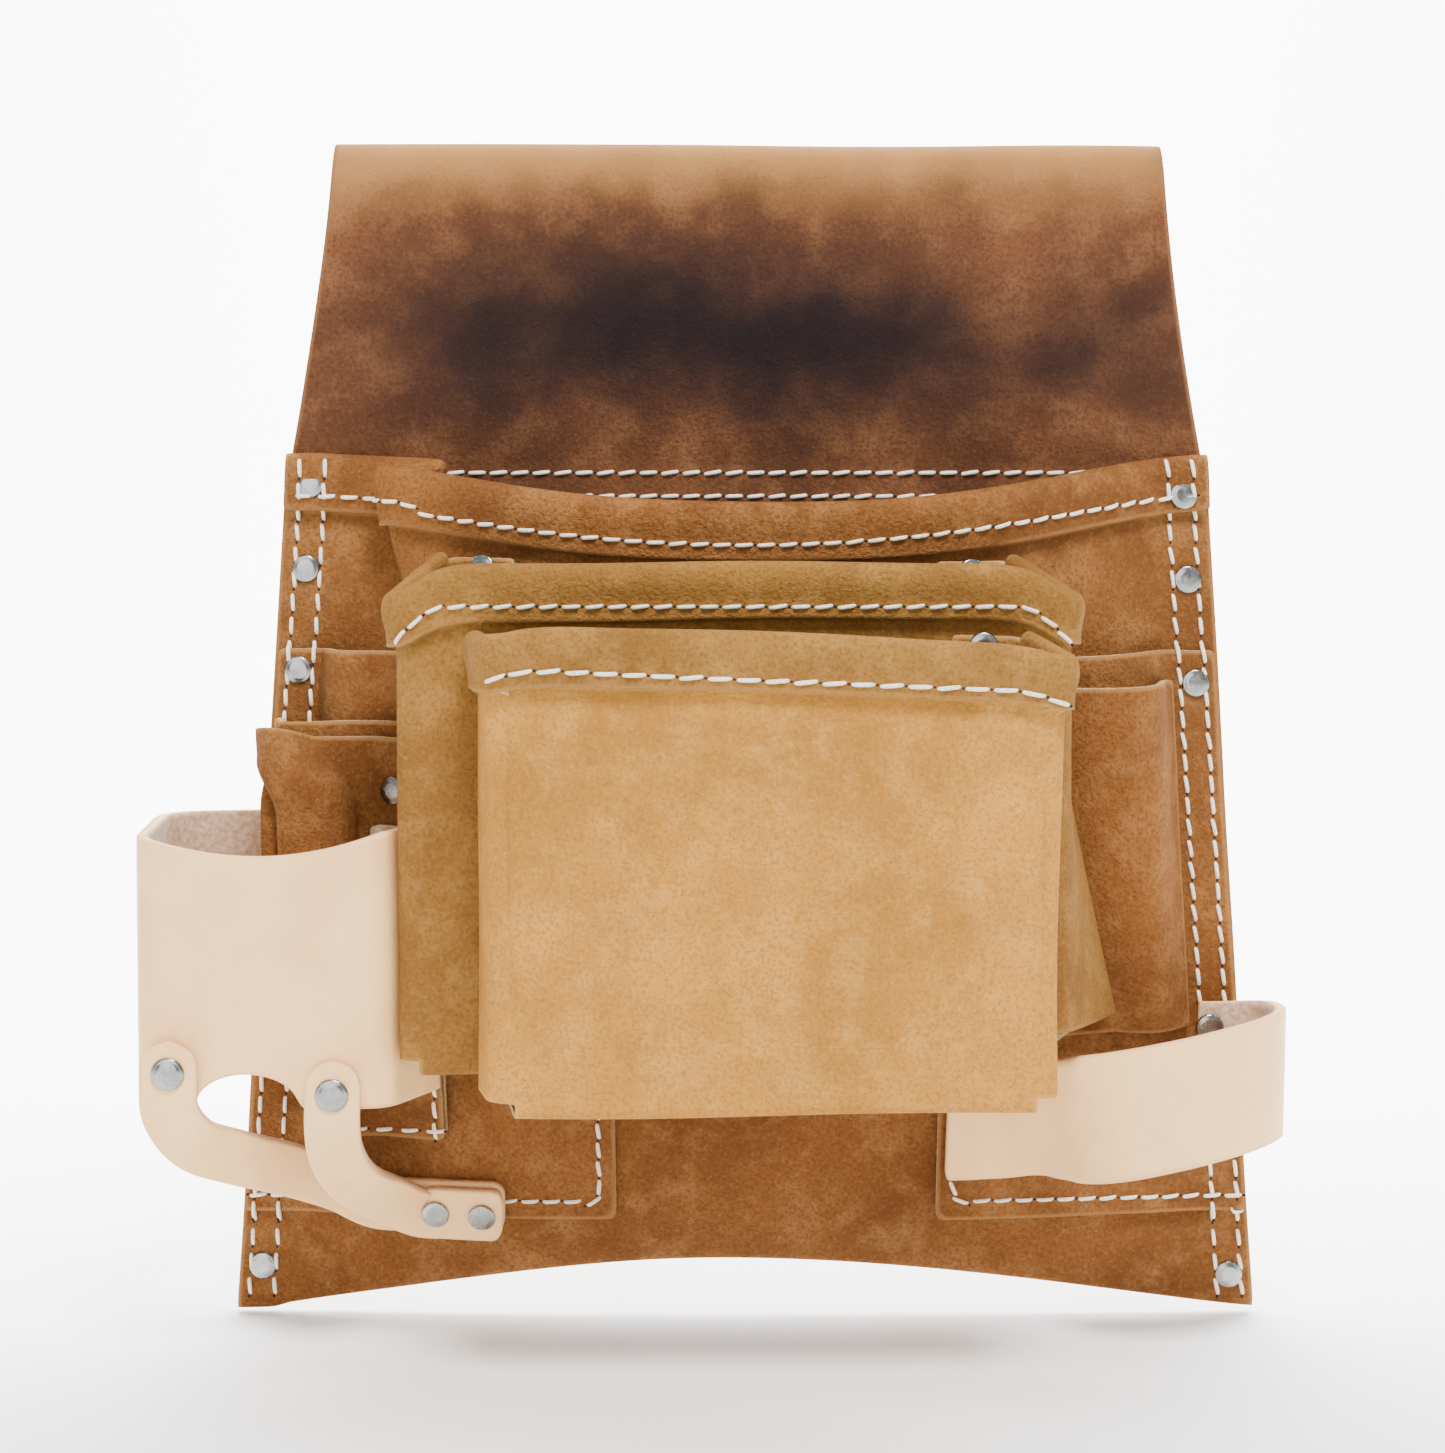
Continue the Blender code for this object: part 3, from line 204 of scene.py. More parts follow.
# Studio: the paper sweep, the lights' place, size and power, and the camera
SWEEP_HALF_WIDTH = 4.0
SWEEP_FRONT = -3.0
SWEEP_BEND = 0.5
SWEEP_RADIUS = 0.6
SWEEP_TOP = 3.5
LIGHTS = (
    ("top_light", (0.15, -0.7, 0.95), (0.0, -0.03, -0.12), 0.35, 31.0),
    ("front_light", (-0.35, -1.4, 0.2), (0.0, -0.03, -0.12), 0.9, 8.0),
    ("sweep_light", (0.0, 0.5, 0.65), (0.0, 1.15, 0.05), 1.3, 105.0),
)
SKY_STRENGTH = 0.6
CAMERA_AIM = (-6.5 * MM, 0.0, -117.0 * MM)
CAMERA_DISTANCE = 1.0
CAMERA_LIFT = radians(6.0)
LENS = 88.94

PANEL_BACK = CLEARANCE / 2
PANEL_FACE = PANEL_BACK + SUEDE
SEAM_FACE = PANEL_FACE + CLEARANCE + SUEDE
LAYER = SUEDE + CLEARANCE
TUNNEL_TOP = TUNNEL_HEIGHT / 2
TUNNEL_FOOT = -TUNNEL_HEIGHT / 2


def mix(a, b, t):
    return a + (b - a) * t


def ease(start, end, value):
    """0 before start, 1 after end and smooth between."""
    t = min(max((value - start) / (end - start), 0.0), 1.0)
    return t * t * (3 - 2 * t)


def spread(a, b, count):
    """`count` values from a to b, both included."""
    return [mix(a, b, i / (count - 1)) for i in range(count)]


def half_width(z):
    """Half the width of the body and of the tunnel at this height."""
    if z > TUNNEL_FOOT:
        t = (TUNNEL_TOP - z) / TUNNEL_HEIGHT
        return mix(TUNNEL_TOP_WIDTH, BODY_TOP_WIDTH, t ** 1.6) / 2
    t = (TUNNEL_FOOT - z) / (BODY_DROP + TUNNEL_FOOT)
    return mix(BODY_TOP_WIDTH, BODY_BOTTOM_WIDTH, min(t, 1.0)) / 2


def bottom_z(x):
    """Lower edge of the body, raised in the middle where the pocket is full."""
    s = min(abs(x) / (BODY_BOTTOM_WIDTH / 2), 1.0)
    return -BODY_DROP + BOTTOM_RISE * cos(s * pi / 2) ** 1.3


def face_depth(x, z):
    """Depth of the outer face of the main pocket's front."""
    s = min(abs(x) / (half_width(z) - SEAM_WIDTH), 1.0)
    fullness = (1 - s ** 3.2) ** 1.5
    low = bottom_z(x) + SUEDE
    t = min(max((-DEEPEST_DROP - z) / (-DEEPEST_DROP - low), 0.0), 1.0)
    return SEAM_FACE + MAIN_DEPTH * fullness * (1 - t * t)


def on_front(x, z, height):
    """The point at this height over the main pocket's front, along its normal."""
    step = 1 * MM
    slope_x = (face_depth(x + step, z) - face_depth(x - step, z)) / (2 * step)
    slope_z = (face_depth(x, z + step) - face_depth(x, z - step)) / (2 * step)
    normal = Vector((-slope_x, -1.0, -slope_z)).normalized()
    return Vector((x, -face_depth(x, z), z)) + normal * height


def normal_at(x, z):
    return (on_front(x, z, 1 * MM) - on_front(x, z, 0.0)).normalized()


def rounded(points, radii, steps, legs):
    """The path through the points, each corner rounded and each leg given so many inner points."""
    tips = []
    for i, corner in enumerate(points):
        if i in (0, len(points) - 1):
            tips.append([corner])
            continue
        back = points[i - 1] - corner
        on = points[i + 1] - corner
        start = corner + back.normalized() * min(radii[i - 1], back.length * 0.45)
        end = corner + on.normalized() * min(radii[i - 1], on.length * 0.45)
        arc = []
        for k in range(steps + 1):
            t = k / steps
            arc.append(start * (1 - t) ** 2 + corner * (2 * t * (1 - t)) + end * t ** 2)
        tips.append(arc)
    path = list(tips[0])
    for i in range(1, len(tips)):
        inner = spread(path[-1], tips[i][0], legs[i - 1] + 2)[1:-1]
        path += inner + tips[i]
    return path


def lattice_normals(rows, kept):
    """Unit normal at each corner of the kept cells of a lattice, out of the sheet."""
    sums = {}
    for r, c in kept:
        across = (rows[r][c + 1] - rows[r][c]) + (rows[r + 1][c + 1] - rows[r + 1][c])
        down = (rows[r + 1][c] - rows[r][c]) + (rows[r + 1][c + 1] - rows[r][c + 1])
        normal = down.cross(across).normalized()
        for key in ((r, c), (r, c + 1), (r + 1, c), (r + 1, c + 1)):
            sums[key] = sums.get(key, Vector()) + normal
    return {key: total.normalized() for key, total in sums.items()}


def strap_ends(centres, width, first, last):
    """Half width at each centre of a strap whose ends are rounded by these radii."""
    lengths = [0.0]
    for a, b in zip(centres, centres[1:]):
        lengths.append(lengths[-1] + (b - a).length)
    halves = []
    for length in lengths:
        half = width / 2
        for radius, away in ((first, length), (last, lengths[-1] - length)):
            if away < radius:
                inset = radius - sqrt(max(radius ** 2 - (radius - away) ** 2, 0.0))
                half = min(half, width / 2 - inset * 0.96)
        halves.append(half)
    return halves


def smooth_path(points, count):
    """`count` points evenly spread along the smooth curve through the given points."""
    dense = []
    for i in range(len(points) - 1):
        before = points[max(i - 1, 0)]
        after = points[min(i + 2, len(points) - 1)]
        a, b = points[i], points[i + 1]
        for k in range(24):
            t = k / 24
            slope_a = (b - before) / 2
            slope_b = (after - a) / 2
            dense.append(
                a * (2 * t**3 - 3 * t**2 + 1)
                + slope_a * (t**3 - 2 * t**2 + t)
                + b * (3 * t**2 - 2 * t**3)
                + slope_b * (t**3 - t**2)
            )
    dense.append(points[-1])
    lengths = [0.0]
    for a, b in zip(dense, dense[1:]):
        lengths.append(lengths[-1] + (b - a).length)
    path = []
    i = 0
    for target in spread(0.0, lengths[-1], count):
        while i < len(dense) - 2 and lengths[i + 1] < target:
            i += 1
        span = lengths[i + 1] - lengths[i]
        path.append(mix(dense[i], dense[i + 1], min((target - lengths[i]) / span, 1.0)))
    return path


def mouth_z(x, front_fold):
    """Mouth of the main pocket: it sags where it stands off the panel."""
    s = min(abs(x) / (BODY_TOP_WIDTH / 2), 1.0)
    sag = MOUTH_SAG * (1 - s * s) ** 1.5
    return -MOUTH_DROP - (sag if front_fold else sag * 0.35)


def swell(x, z, x_from, x_to, mouth, bottom, height):
    """Height that a pocket stands off what it is sewn on, none at its sides and its foot."""
    s = (x - x_from) / (x_to - x_from)
    if not 0 < s < 1:
        return 0.0
    t = min(max((-z - mouth) / (bottom - mouth), 0.0), 1.0)
    return height * sin(pi * s) ** 1.5 * (1 - t ** 2)


def root_right(z):
    """Where the rear nail pocket's right side meets the body: further out lower down."""
    t = (-z - REAR_TOP_DROP) / (REAR_BOTTOM_DROP - REAR_TOP_DROP)
    return REAR_ROOT_RIGHT_X + REAR_ROOT_SPREAD * min(max(t, 0.0), 1.0)


def tool_swell(x, z):
    """Height of the tool pockets' inner faces over the layer under them."""
    outer = half_width(z) - SEAM_WIDTH
    if x > 0:
        low, high = root_right(z) + SUEDE, outer
    else:
        low, high = -outer, LEFT_TOOL_FLAT_X
    return swell(x, z, low, high, TOOL_MOUTH_DROP, TOOL_BOTTOM_DROP, TOOL_BULGE)


def tool_face(x, z):
    """Height of the tool pockets' outer faces over the main pocket's front."""
    return LAYER + tool_swell(x, z)


def small_right_x(z):
    """Right edge of the small right pocket, beside the side seam."""
    return half_width(z) - SEAM_WIDTH - SMALL_INSET


def small_face(x, z):
    """Height of the small right pocket's outer face over the main pocket's front."""
    low, high = root_right(z) + SUEDE, small_right_x(z) - 3 * MM
    rise = swell(x, z, low, high, SMALL_MOUTH_DROP, SMALL_BOTTOM_DROP, SMALL_BULGE)
    return tool_face(x, z) + SMALL_STAND + rise


def slot_point(s, t):
    """Inner face of the left outer slot, s across and t down. Its left edge lies on the seam at
    the mouth and moves clear of the holder's back end lower down; its right part lies flat."""
    z = mix(-SLOT_MOUTH_DROP, -SLOT_BOTTOM_DROP, t)
    left = mix(-half_width(z) + 3 * MM, SLOT_LEFT_X, ease(0.0, 0.2, t))
    x = mix(left, SLOT_RIGHT_X, s)
    out = SLOT_OVERHANG * (1 + ease(0.0, 0.2, t)) * (1 - ease(0.35, 0.8, t))
    share = min((x - left) / (SLOT_FLAT_X - left), 1.0)
    lean = out * sin(pi * share) ** 2.5
    rise = SLOT_BULGE * (1 - t ** 2) * sin(pi * share ** 0.8) ** 1.5
    base = on_front(x, z, tool_face(x, z) + SLOT_STAND)
    return base + Vector((-lean, -rise, 0.0))


def rear_stack(x, z):
    """Height of what the rear nail pocket's flanges are sewn on, over the main pocket's front."""
    on_tools = ease(TOOL_MOUTH_DROP - 12 * MM, TOOL_MOUTH_DROP - 3 * MM, -z)
    left = 1 - ease(LEFT_TOOL_INNER_X + 14 * MM, LEFT_TOOL_INNER_X + 28 * MM, x)
    right = ease(RIGHT_TOOL_INNER_X - 20 * MM, RIGHT_TOOL_INNER_X - 8 * MM, x)
    small_left = root_right(z) - FLANGE - 2 * MM
    on_small = ease(SMALL_MOUTH_DROP - 15 * MM, SMALL_MOUTH_DROP - 6 * MM, -z)
    on_small *= 1 - ease(SMALL_BOTTOM_DROP + 2 * MM, SMALL_BOTTOM_DROP + 5 * MM, -z)
    on_small *= ease(small_left - 12 * MM, small_left - 2 * MM, x)
    return LAYER * on_tools * max(left, right) + SMALL_STAND * on_small


def rear_ground(x, z):
    return on_front(x, z, rear_stack(x, z) + LAYER + CLEARANCE)


def rear_face_y(z):
    """The rear nail pocket's front leans back a little towards its foot."""
    t = (-z - REAR_TOP_DROP) / (REAR_BOTTOM_DROP - REAR_TOP_DROP)
    return -(REAR_FACE - REAR_LEAN * t)


def front_ground(x, z):
    return Vector((x, rear_face_y(z) - SUEDE - LAYER, z))


def front_face_y(z):
    return rear_face_y(z) - SUEDE - FRONT_DEPTH


def holder_edges(x, front):
    """Top and bottom height of the square holder's sheet: scooped above, arched below."""
    if not front:
        return -HOLDER_TOP_DROP, -HOLDER_TOP_DROP - HOLDER_BACK_HEIGHT
    middle = (HOLDER_LEFT_X + HOLDER_RIGHT_X) / 2
    half = (HOLDER_RIGHT_X - HOLDER_LEFT_X) / 2
    s = min(abs(x - middle) / half, 1.0)
    top = -HOLDER_TOP_DROP - HOLDER_SCOOP * (1 - s * s)
    arch = max(1 - ((x - HOLDER_ARCH_X) / HOLDER_ARCH_HALF) ** 2, 0.0)
    return top, -HOLDER_BOTTOM_DROP + HOLDER_ARCH * sqrt(arch)


def holder_end(x, z):
    """Inner face of the holder's right end, which lies on the slots."""
    return on_front(x, z, tool_face(x, z) + HOLDER_STAND + BRIDLE)


def strap_base(x, height):
    """A point over the foot of the left tool pocket, where both narrow straps end."""
    return on_front(x, -BASE_DROP, LAYER + 3 * CLEARANCE + height)


def linked(name, data):
    """A new object of this name in the scene."""
    made = bpy.data.objects.new(name, data)
    bpy.context.scene.collection.objects.link(made)
    return made


# --- leather lattices ------------------------------------------------------------------------------


def settled(point):
    """Where this point comes to rest: soft leather is never quite straight or flat."""
    sizes = bpy.context.scene.bag_sizes
    noise.seed_set(SETTLE_SEED)
    wander = noise.noise_vector(point / sizes.settle_wave)
    return point + wander * sizes.settle


def pleated_row(z_of):
    """One row across the main pocket's front, its pleat folded as far as its height says.
    z_of(x, front_fold) is the height of the row at that place."""
    z = z_of(PLEAT_X, True)
    flat = ease(MOUTH_DROP + HEM, PLEAT_FLAT_DROP, -z)
    gone = ease(PLEAT_FLAT_DROP, PLEAT_END_DROP, -z)
    overlap = PLEAT_OVERLAP * (1 - flat)
    edge = half_width(z)
    top = on_front(PLEAT_X, z, -SUEDE)
    rise = 2 * (2 * SUEDE + CLEARANCE) + CLEARANCE
    lips = (
        (PLEAT_X + overlap / 2, rise + CLEARANCE, -9 * MM),
        (PLEAT_X + overlap / 2, CLEARANCE, -3 * MM),
        (PLEAT_X - overlap / 2, CLEARANCE * 0.9, 3 * MM),
        (PLEAT_X - overlap / 2, 0.0, 9 * MM),
    )
    seam_y = -(SEAM_FACE - SUEDE)
    seam_x = -edge + SEAM_WIDTH
    points = [Vector((seam_x, seam_y, z_of(seam_x, False)))]
    for i, (x, behind, opened) in enumerate(lips):
        folded = Vector((x, top.y + behind, z_of(x, i > 1)))
        smooth = on_front(PLEAT_X + opened, z_of(PLEAT_X + opened, True), -SUEDE)
        points.append(mix(folded, smooth, gone))
    points.append(on_front(PLEAT_RIGHT_X, z_of(PLEAT_RIGHT_X, True), -SUEDE))
    radii = [rise / 2, rise / 2, CLEARANCE / 2, CLEARANCE / 2]
    path = rounded(points, radii, 4, [9, 1, 3, 1, 6])
    left = [
        Vector((-edge + SEAM_WIDTH * t, seam_y, z_of(-edge, False)))
        for t in (0.0, 0.25, 0.5, 0.75)
    ]
    right = []
    for i in range(1, 34):
        t = i / 33
        x = mix(PLEAT_RIGHT_X, edge - SEAM_WIDTH, t * (1.5 - t / 2))
        right.append(on_front(x, z_of(x, True), -SUEDE))
    for t in (0.75, 0.5, 0.25, 0.0):
        x = edge - SEAM_WIDTH * t
        right.append(Vector((x, seam_y, z_of(x, True))))
    return left + path + right


def turned_hem(rows, last, thickness):
    """Rows of a hem turned over outwards: its cut edge first, up, over the mouth. `rows` run down
    from the mouth on the pocket's inner face, and the hem ends level with rows[last]."""
    kept = [(r, c) for r in range(last + 1) for c in range(len(rows[0]) - 1)]
    normals = lattice_normals(rows, kept)
    proud = 2 * thickness + CLEARANCE
    roll = bpy.context.scene.bag_sizes.hem_roll
    hem = []
    for r in range(last, 0, -1):
        up = 1 - r / last
        swollen = roll * sin(pi * ease(0.2, 1.35, up))
        hem.append([p + normals[r, c] * (proud + swollen) for c, p in enumerate(rows[r])])
    middle = proud / 2
    swollen = roll * sin(pi * ease(0.2, 1.35, 1.0))
    for turn in (0, 30, 60, 90, 120, 150):
        angle = radians(turn)
        arc = []
        for c, point in enumerate(rows[0]):
            up = (rows[0][c] - rows[1][c]).normalized()
            out = normals[0, c]
            reach = middle + swollen * max(cos(angle), 0.0)
            arc.append(point + out * (middle + reach * cos(angle)) + up * middle * sin(angle))
        hem.append(arc)
    return hem


def body_lattice():
    """The whole hide on the face inside the main pocket and outside the tunnel: the turned hem,
    the front, round the bottom fold, up the panel, over the tunnel and down again. Also the
    number of rows of the hem."""
    height = BODY_DROP - MOUTH_DROP
    start = (SUEDE + CLEARANCE / 2) / height
    hem_share = HEM / height
    fractions = spread(start, hem_share, 6) + spread(hem_share, 1.0, 46)[1:]
    inner_radius = CLEARANCE / 2
    rows = []
    for fraction in fractions:

        def z_of(x, front_fold, fraction=fraction):
            top = mouth_z(x, front_fold)
            if fraction < hem_share:
                return top - fraction * height
            t = (fraction - hem_share) / (1 - hem_share)
            return mix(top - HEM, bottom_z(x) + SUEDE + inner_radius, t)

        rows.append(pleated_row(z_of))
    hem = turned_hem(rows, 5, SUEDE)
    foot = rows[-1]
    for turn in (60, 120, 180):
        angle = radians(turn)
        rows.append([
            Vector((p.x, p.y + inner_radius * (1 - cos(angle)), p.z - inner_radius * sin(angle)))
            for p in foot
        ])
    shares = [p.x / half_width(p.z) for p in foot]
    panel_top = TUNNEL_FOOT - TUNNEL_SEAM
    for t in spread(0.0, 1.0, 26)[1:]:
        row = []
        for s, p in zip(shares, foot):
            z = mix(p.z, panel_top, t)
            row.append(Vector((s * half_width(z), -PANEL_FACE, z)))
        rows.append(row)
    for depth, z in tunnel_profile():
        rows.append([Vector((s * half_width(z), -depth, z)) for s in shares])
    return hem + rows, len(hem)


def tunnel_profile():
    """Depth and height along the tunnel's outer face: up its front, over the top, down its back."""
    radius = TUNNEL_DEPTH / 2 + SUEDE
    crown = TUNNEL_TOP - radius
    span = crown - TUNNEL_FOOT
    front_swell = radius - PANEL_FACE
    rise = []
    for t in spread(0.0, 1.0, 18)[:-1]:
        rise.append((front_swell * sin(t * pi / 2), TUNNEL_FOOT + span * t))
    points = [(PANEL_FACE, TUNNEL_FOOT - TUNNEL_SEAM / 2)]
    points += [(PANEL_FACE + swollen, z) for swollen, z in rise]
    for turn in range(0, 181, 20):
        points.append((radius * cos(radians(turn)), crown + radius * sin(radians(turn))))
    points += [(-PANEL_FACE - swollen, z) for swollen, z in reversed(rise)]
    for t in (0.5, 1.0):
        points.append((-PANEL_FACE, TUNNEL_FOOT - TUNNEL_SEAM * t))
    return points


def tool_pocket_lattice(inner_x):
    side = 1 if inner_x > 0 else -1
    rows = []
    for fraction in spread(0.0, 1.0, 52):
        z = mix(-TOOL_MOUTH_DROP, -TOOL_BOTTOM_DROP, fraction)
        outer = half_width(z) - 1 * MM
        row = []
        for t in spread(0.0, 1.0, 40):
            x = mix(inner_x, outer * side, t ** 0.85)
            row.append(on_front(x, z, CLEARANCE + tool_swell(x, z)))
        rows.append(row if side > 0 else row[::-1])
    return rows


def small_pocket_lattice():
    rows = []
    for t in spread(0.0, 1.0, 34):
        z = mix(-SMALL_MOUTH_DROP, -SMALL_BOTTOM_DROP, t)
        left, right = root_right(z) - FLANGE - 2 * MM, small_right_x(z)
        rows.append([on_front(x, z, small_face(x, z) - SUEDE) for x in spread(left, right, 26)])
    return rows


def slot_lattices():
    """The left outer slot, and the inner one on it, further in and a little lower."""
    shares = spread(0.0, 0.6, 28) + spread(0.6, 1.0, 9)[1:]
    drops = spread(0.0, 1.0, 41)
    outer = [[slot_point(s, t) for s in shares] for t in drops]
    kept = [(r, c) for r in range(len(drops) - 1) for c in range(len(shares) - 1)]
    normals = lattice_normals(outer, kept)
    flat_from = (SLOT_FLAT_X - SLOT_LEFT_X) / (SLOT_RIGHT_X - SLOT_LEFT_X)
    inner = []
    for r, t in enumerate(drops):
        row = []
        for c, s in enumerate(shares):
            if s < INNER_SLOT_START:
                continue
            share = min((s - INNER_SLOT_START) / (flat_from - INNER_SLOT_START), 1.0)
            rise = INNER_SLOT_BULGE * (1 - t ** 2) * sin(pi * share) ** 1.2
            row.append(outer[r][c] + normals[r, c] * (SUEDE + SLOT_STAND + rise))
        inner.append(row)
    lower = SLOT_STAGGER * (len(drops) - 1) / (SLOT_BOTTOM_DROP - SLOT_MOUTH_DROP)
    whole = int(lower)
    inner = inner[whole:]
    inner[0] = [mix(a, b, lower - whole) for a, b in zip(inner[0], inner[1])]
    return outer, inner


def box_lattice(ground, face_y, roots, sides, tops, bottoms, droop, pillow):
    """Lattice of a box pocket folded from one cross-shaped piece, with the cells that are
    leather. Droop is how far its front's top corners sit lower, pillow how far its middle stands
    proud."""
    left, right = sides
    flange_top, left_top, right_top = tops
    left_foot, right_foot = bottoms
    corner = 12 * MM
    steps = 5
    legs = [4, 8, 3, 26, 3, 8, 4]

    def slanted(x, at_left, at_right):
        return mix(at_left, at_right, (x - left) / (right - left))

    first = legs[0] + legs[1] + 2 * (steps + 1)

    def front_row(t, turn_z):
        controls = []
        for end, inward in ((0, 1), (1, -1)):
            side_x = sides[end]
            foot = slanted(side_x, left_foot, right_foot)
            top = slanted(side_x, left_top, right_top)
            flange_z = mix(flange_top, foot + FLANGE + 2 * SLIT, t)
            root_z = mix(flange_top, foot + 2 * SLIT, t)
            flange_x = roots(flange_z)[end] + inward * FLANGE
            root_x = roots(root_z)[end]
            inner_x = side_x + inward * corner
            face = [
                ground(flange_x, flange_z),
                ground(root_x, root_z),
                Vector((side_x, 0, mix(top - droop, foot + turn_z, t))),
                Vector((inner_x, 0, mix(slanted(inner_x, left_top, right_top),
                                        slanted(inner_x, left_foot, right_foot) + turn_z, t))),
            ]
            for point in face[2:]:
                point.y = face_y(point.z)
            controls.append(face)
        path = controls[0] + controls[1][::-1]
        radii = [3 * MM, CORNER_RADIUS, 11 * MM, 11 * MM, CORNER_RADIUS, 3 * MM]
        path = rounded(path, radii, steps, legs)
        for c in range(first, len(path) - first):
            across = (c - first) / (len(path) - 1 - 2 * first)
            path[c].y -= pillow * sin(pi * across) ** 0.7 * sin(pi * min(t, 1.0)) ** 0.7
        return path

    height = left_top - left_foot
    start = (SUEDE + CLEARANCE / 2) / height
    hem_share = HEM / height
    fractions = spread(start, hem_share, 6) + spread(hem_share, 1.0, 40)[1:]
    rows = [front_row(t, CORNER_RADIUS) for t in fractions]
    hem = turned_hem(rows, 5, SUEDE)
    last = len(rows[0]) - 1 - first
    feet = []
    for start_point in rows[-1]:
        share = (start_point.x - rows[-1][first].x) / (rows[-1][last].x - rows[-1][first].x)
        share = min(max(share, 0.0), 1.0)
        foot_z = slanted(start_point.x, left_foot, right_foot) + SUEDE
        heel_z = foot_z + FOOT_RISE
        root_left, root_far = roots(heel_z)
        heel_x = mix(root_left + SLIT + SUEDE, root_far - SLIT - SUEDE, share)
        inset = FLANGE + SLIT + SUEDE
        flange_x = mix(root_left + inset, root_far - inset, share)
        path = [
            start_point,
            Vector((start_point.x, face_y(foot_z), foot_z)),
            ground(heel_x, heel_z),
            ground(flange_x, heel_z + FLANGE - 2 * SLIT),
        ]
        feet.append(rounded(path, [CORNER_RADIUS, 2 * MM], 4, [1, 10, 4])[1:])
    front = len(rows)
    for r in range(len(feet[0])):
        rows.append([feet[c][r] for c in range(len(feet))])
    wrapped = legs[0] + steps + 1

    def cells(r, c):
        if r < len(hem):
            return wrapped <= c < len(rows[0]) - 1 - wrapped
        return r < len(hem) + front - 1 or first <= c < last

    return hem + rows, cells


def rear_pocket_lattice():
    return box_lattice(
        rear_ground,
        rear_face_y,
        lambda z: (REAR_ROOT_LEFT_X, root_right(z)),
        (REAR_LEFT_X, REAR_RIGHT_X),
        (-REAR_TOP_DROP + 1 * MM, -REAR_TOP_DROP, -REAR_TOP_DROP),
        (-REAR_BOTTOM_DROP, -REAR_BOTTOM_DROP + REAR_BOTTOM_TILT),
        REAR_CORNER_DROOP,
        0.0,
    )


def front_pocket_lattice():
    return box_lattice(
        front_ground,
        front_face_y,
        lambda z: (FRONT_ROOT_LEFT_X, FRONT_ROOT_RIGHT_X),
        (FRONT_LEFT_X, FRONT_RIGHT_X),
        (-REAR_TOP_DROP - HEM - 1.2 * MM, -FRONT_TOP_DROP, -FRONT_TOP_DROP - FRONT_TOP_TILT),
        (-FRONT_BOTTOM_DROP, -FRONT_BOTTOM_DROP + 1 * MM),
        FRONT_CORNER_DROOP,
        bpy.context.scene.bag_sizes.pillow,
    )


def holder_lattice():
    rows = []
    inner_left = HOLDER_LEFT_X + BRIDLE
    face_y = -(HOLDER_FACE - BRIDLE)
    back_y = -(SEAM_FACE + LAYER + CLEARANCE + BRIDLE)
    for t in spread(0.0, 1.0, 26):
        z = mix(-HOLDER_TOP_DROP, -HOLDER_BOTTOM_DROP, t)
        controls = [
            Vector((SEAM_WIDTH - 1 * MM - half_width(z), back_y, z)),
            Vector((inner_left, back_y, z)),
            Vector((inner_left, face_y, z)),
            Vector((HOLDER_RIGHT_X, face_y, z)),
            holder_end(HOLDER_TURN_X, z),
            holder_end(HOLDER_END_X, z),
        ]
        radii = [2 * HOLDER_BEND, HOLDER_BEND, HOLDER_BEND, 2 * MM]
        path = rounded(controls, radii, 5, [8, 12, 40, 12, 3])
        for point in path:
            front = ease(-back_y + 4 * MM, -face_y - 4 * MM, -point.y)
            if point.x > HOLDER_RIGHT_X - HOLDER_BEND:
                front = 1.0
            top, bottom = holder_edges(point.x, True)
            back_top, back_bottom = holder_edges(point.x, False)
            point.z = mix(mix(back_top, top, front), mix(back_bottom, bottom, front), t)
        sewn = path[-1].z
        path[-4:] = [
            holder_end(mix(HOLDER_TURN_X, HOLDER_END_X, s), sewn) for s in (0.25, 0.5, 0.75, 1.0)
        ]
        rows.append(path)
    return rows


def ribbon_lattice(centres, facing, half_widths):
    """A strap's back face along the centres; it looks away from `facing` at each of them."""
    rows = []
    for i, centre in enumerate(centres):
        along = (centres[min(i + 1, len(centres) - 1)] - centres[max(i - 1, 0)]).normalized()
        normal = (facing[i] - along * facing[i].dot(along)).normalized()
        side = normal.cross(along)
        rows.append([centre + side * (half_widths[i] * s) for s in spread(-1.0, 1.0, 9)])
    return rows


def narrow_strap_lattice(start_x, points, base_from, base_height):
    """A strap from the holder's face along its route down to the base."""
    face = HOLDER_FACE + CLEARANCE
    route = [
        Vector((start_x + x * MM, back * MM - face, -down * MM)) for x, back, down in points
    ]
    route += [strap_base(x, base_height) for x in spread(base_from, BASE_RIGHT_X, 4)]
    centres = smooth_path(route, 90)
    ground = normal_at(base_from, -BASE_DROP)
    facing = []
    for centre in centres:
        near = ease(base_from - 16 * MM, base_from - 2 * MM, centre.x)
        facing.append(mix(Vector((0, -1, 0)), ground, near))
    halves = strap_ends(centres, NARROW_STRAP, NARROW_STRAP / 2, 3 * MM)
    return ribbon_lattice(centres, facing, halves)


# Each narrow strap's route in mm, as (to the right of its own X, back from the holder's face, down
# from the tunnel's middle), and where it comes to the foot of the tool pocket
LEFT_STRAP_ROUTE = (
    (0, 0, 195), (0, 0, 206), (0.5, 0, 214.5), (6, 4, 223), (16, 14, 229), (28, 26, 235),
    (40, 39, 242.5),
)
RIGHT_STRAP_ROUTE = (
    (0, 0, 199.5), (0, 0, 210), (0, 0, 217), (0.5, 4.5, 225), (2.5, 13.5, 233), (6, 25, 240),
    (11.5, 34.5, 245.5),
)
LEFT_BASE_X = -103.0 * MM
RIGHT_BASE_X = -90.0 * MM


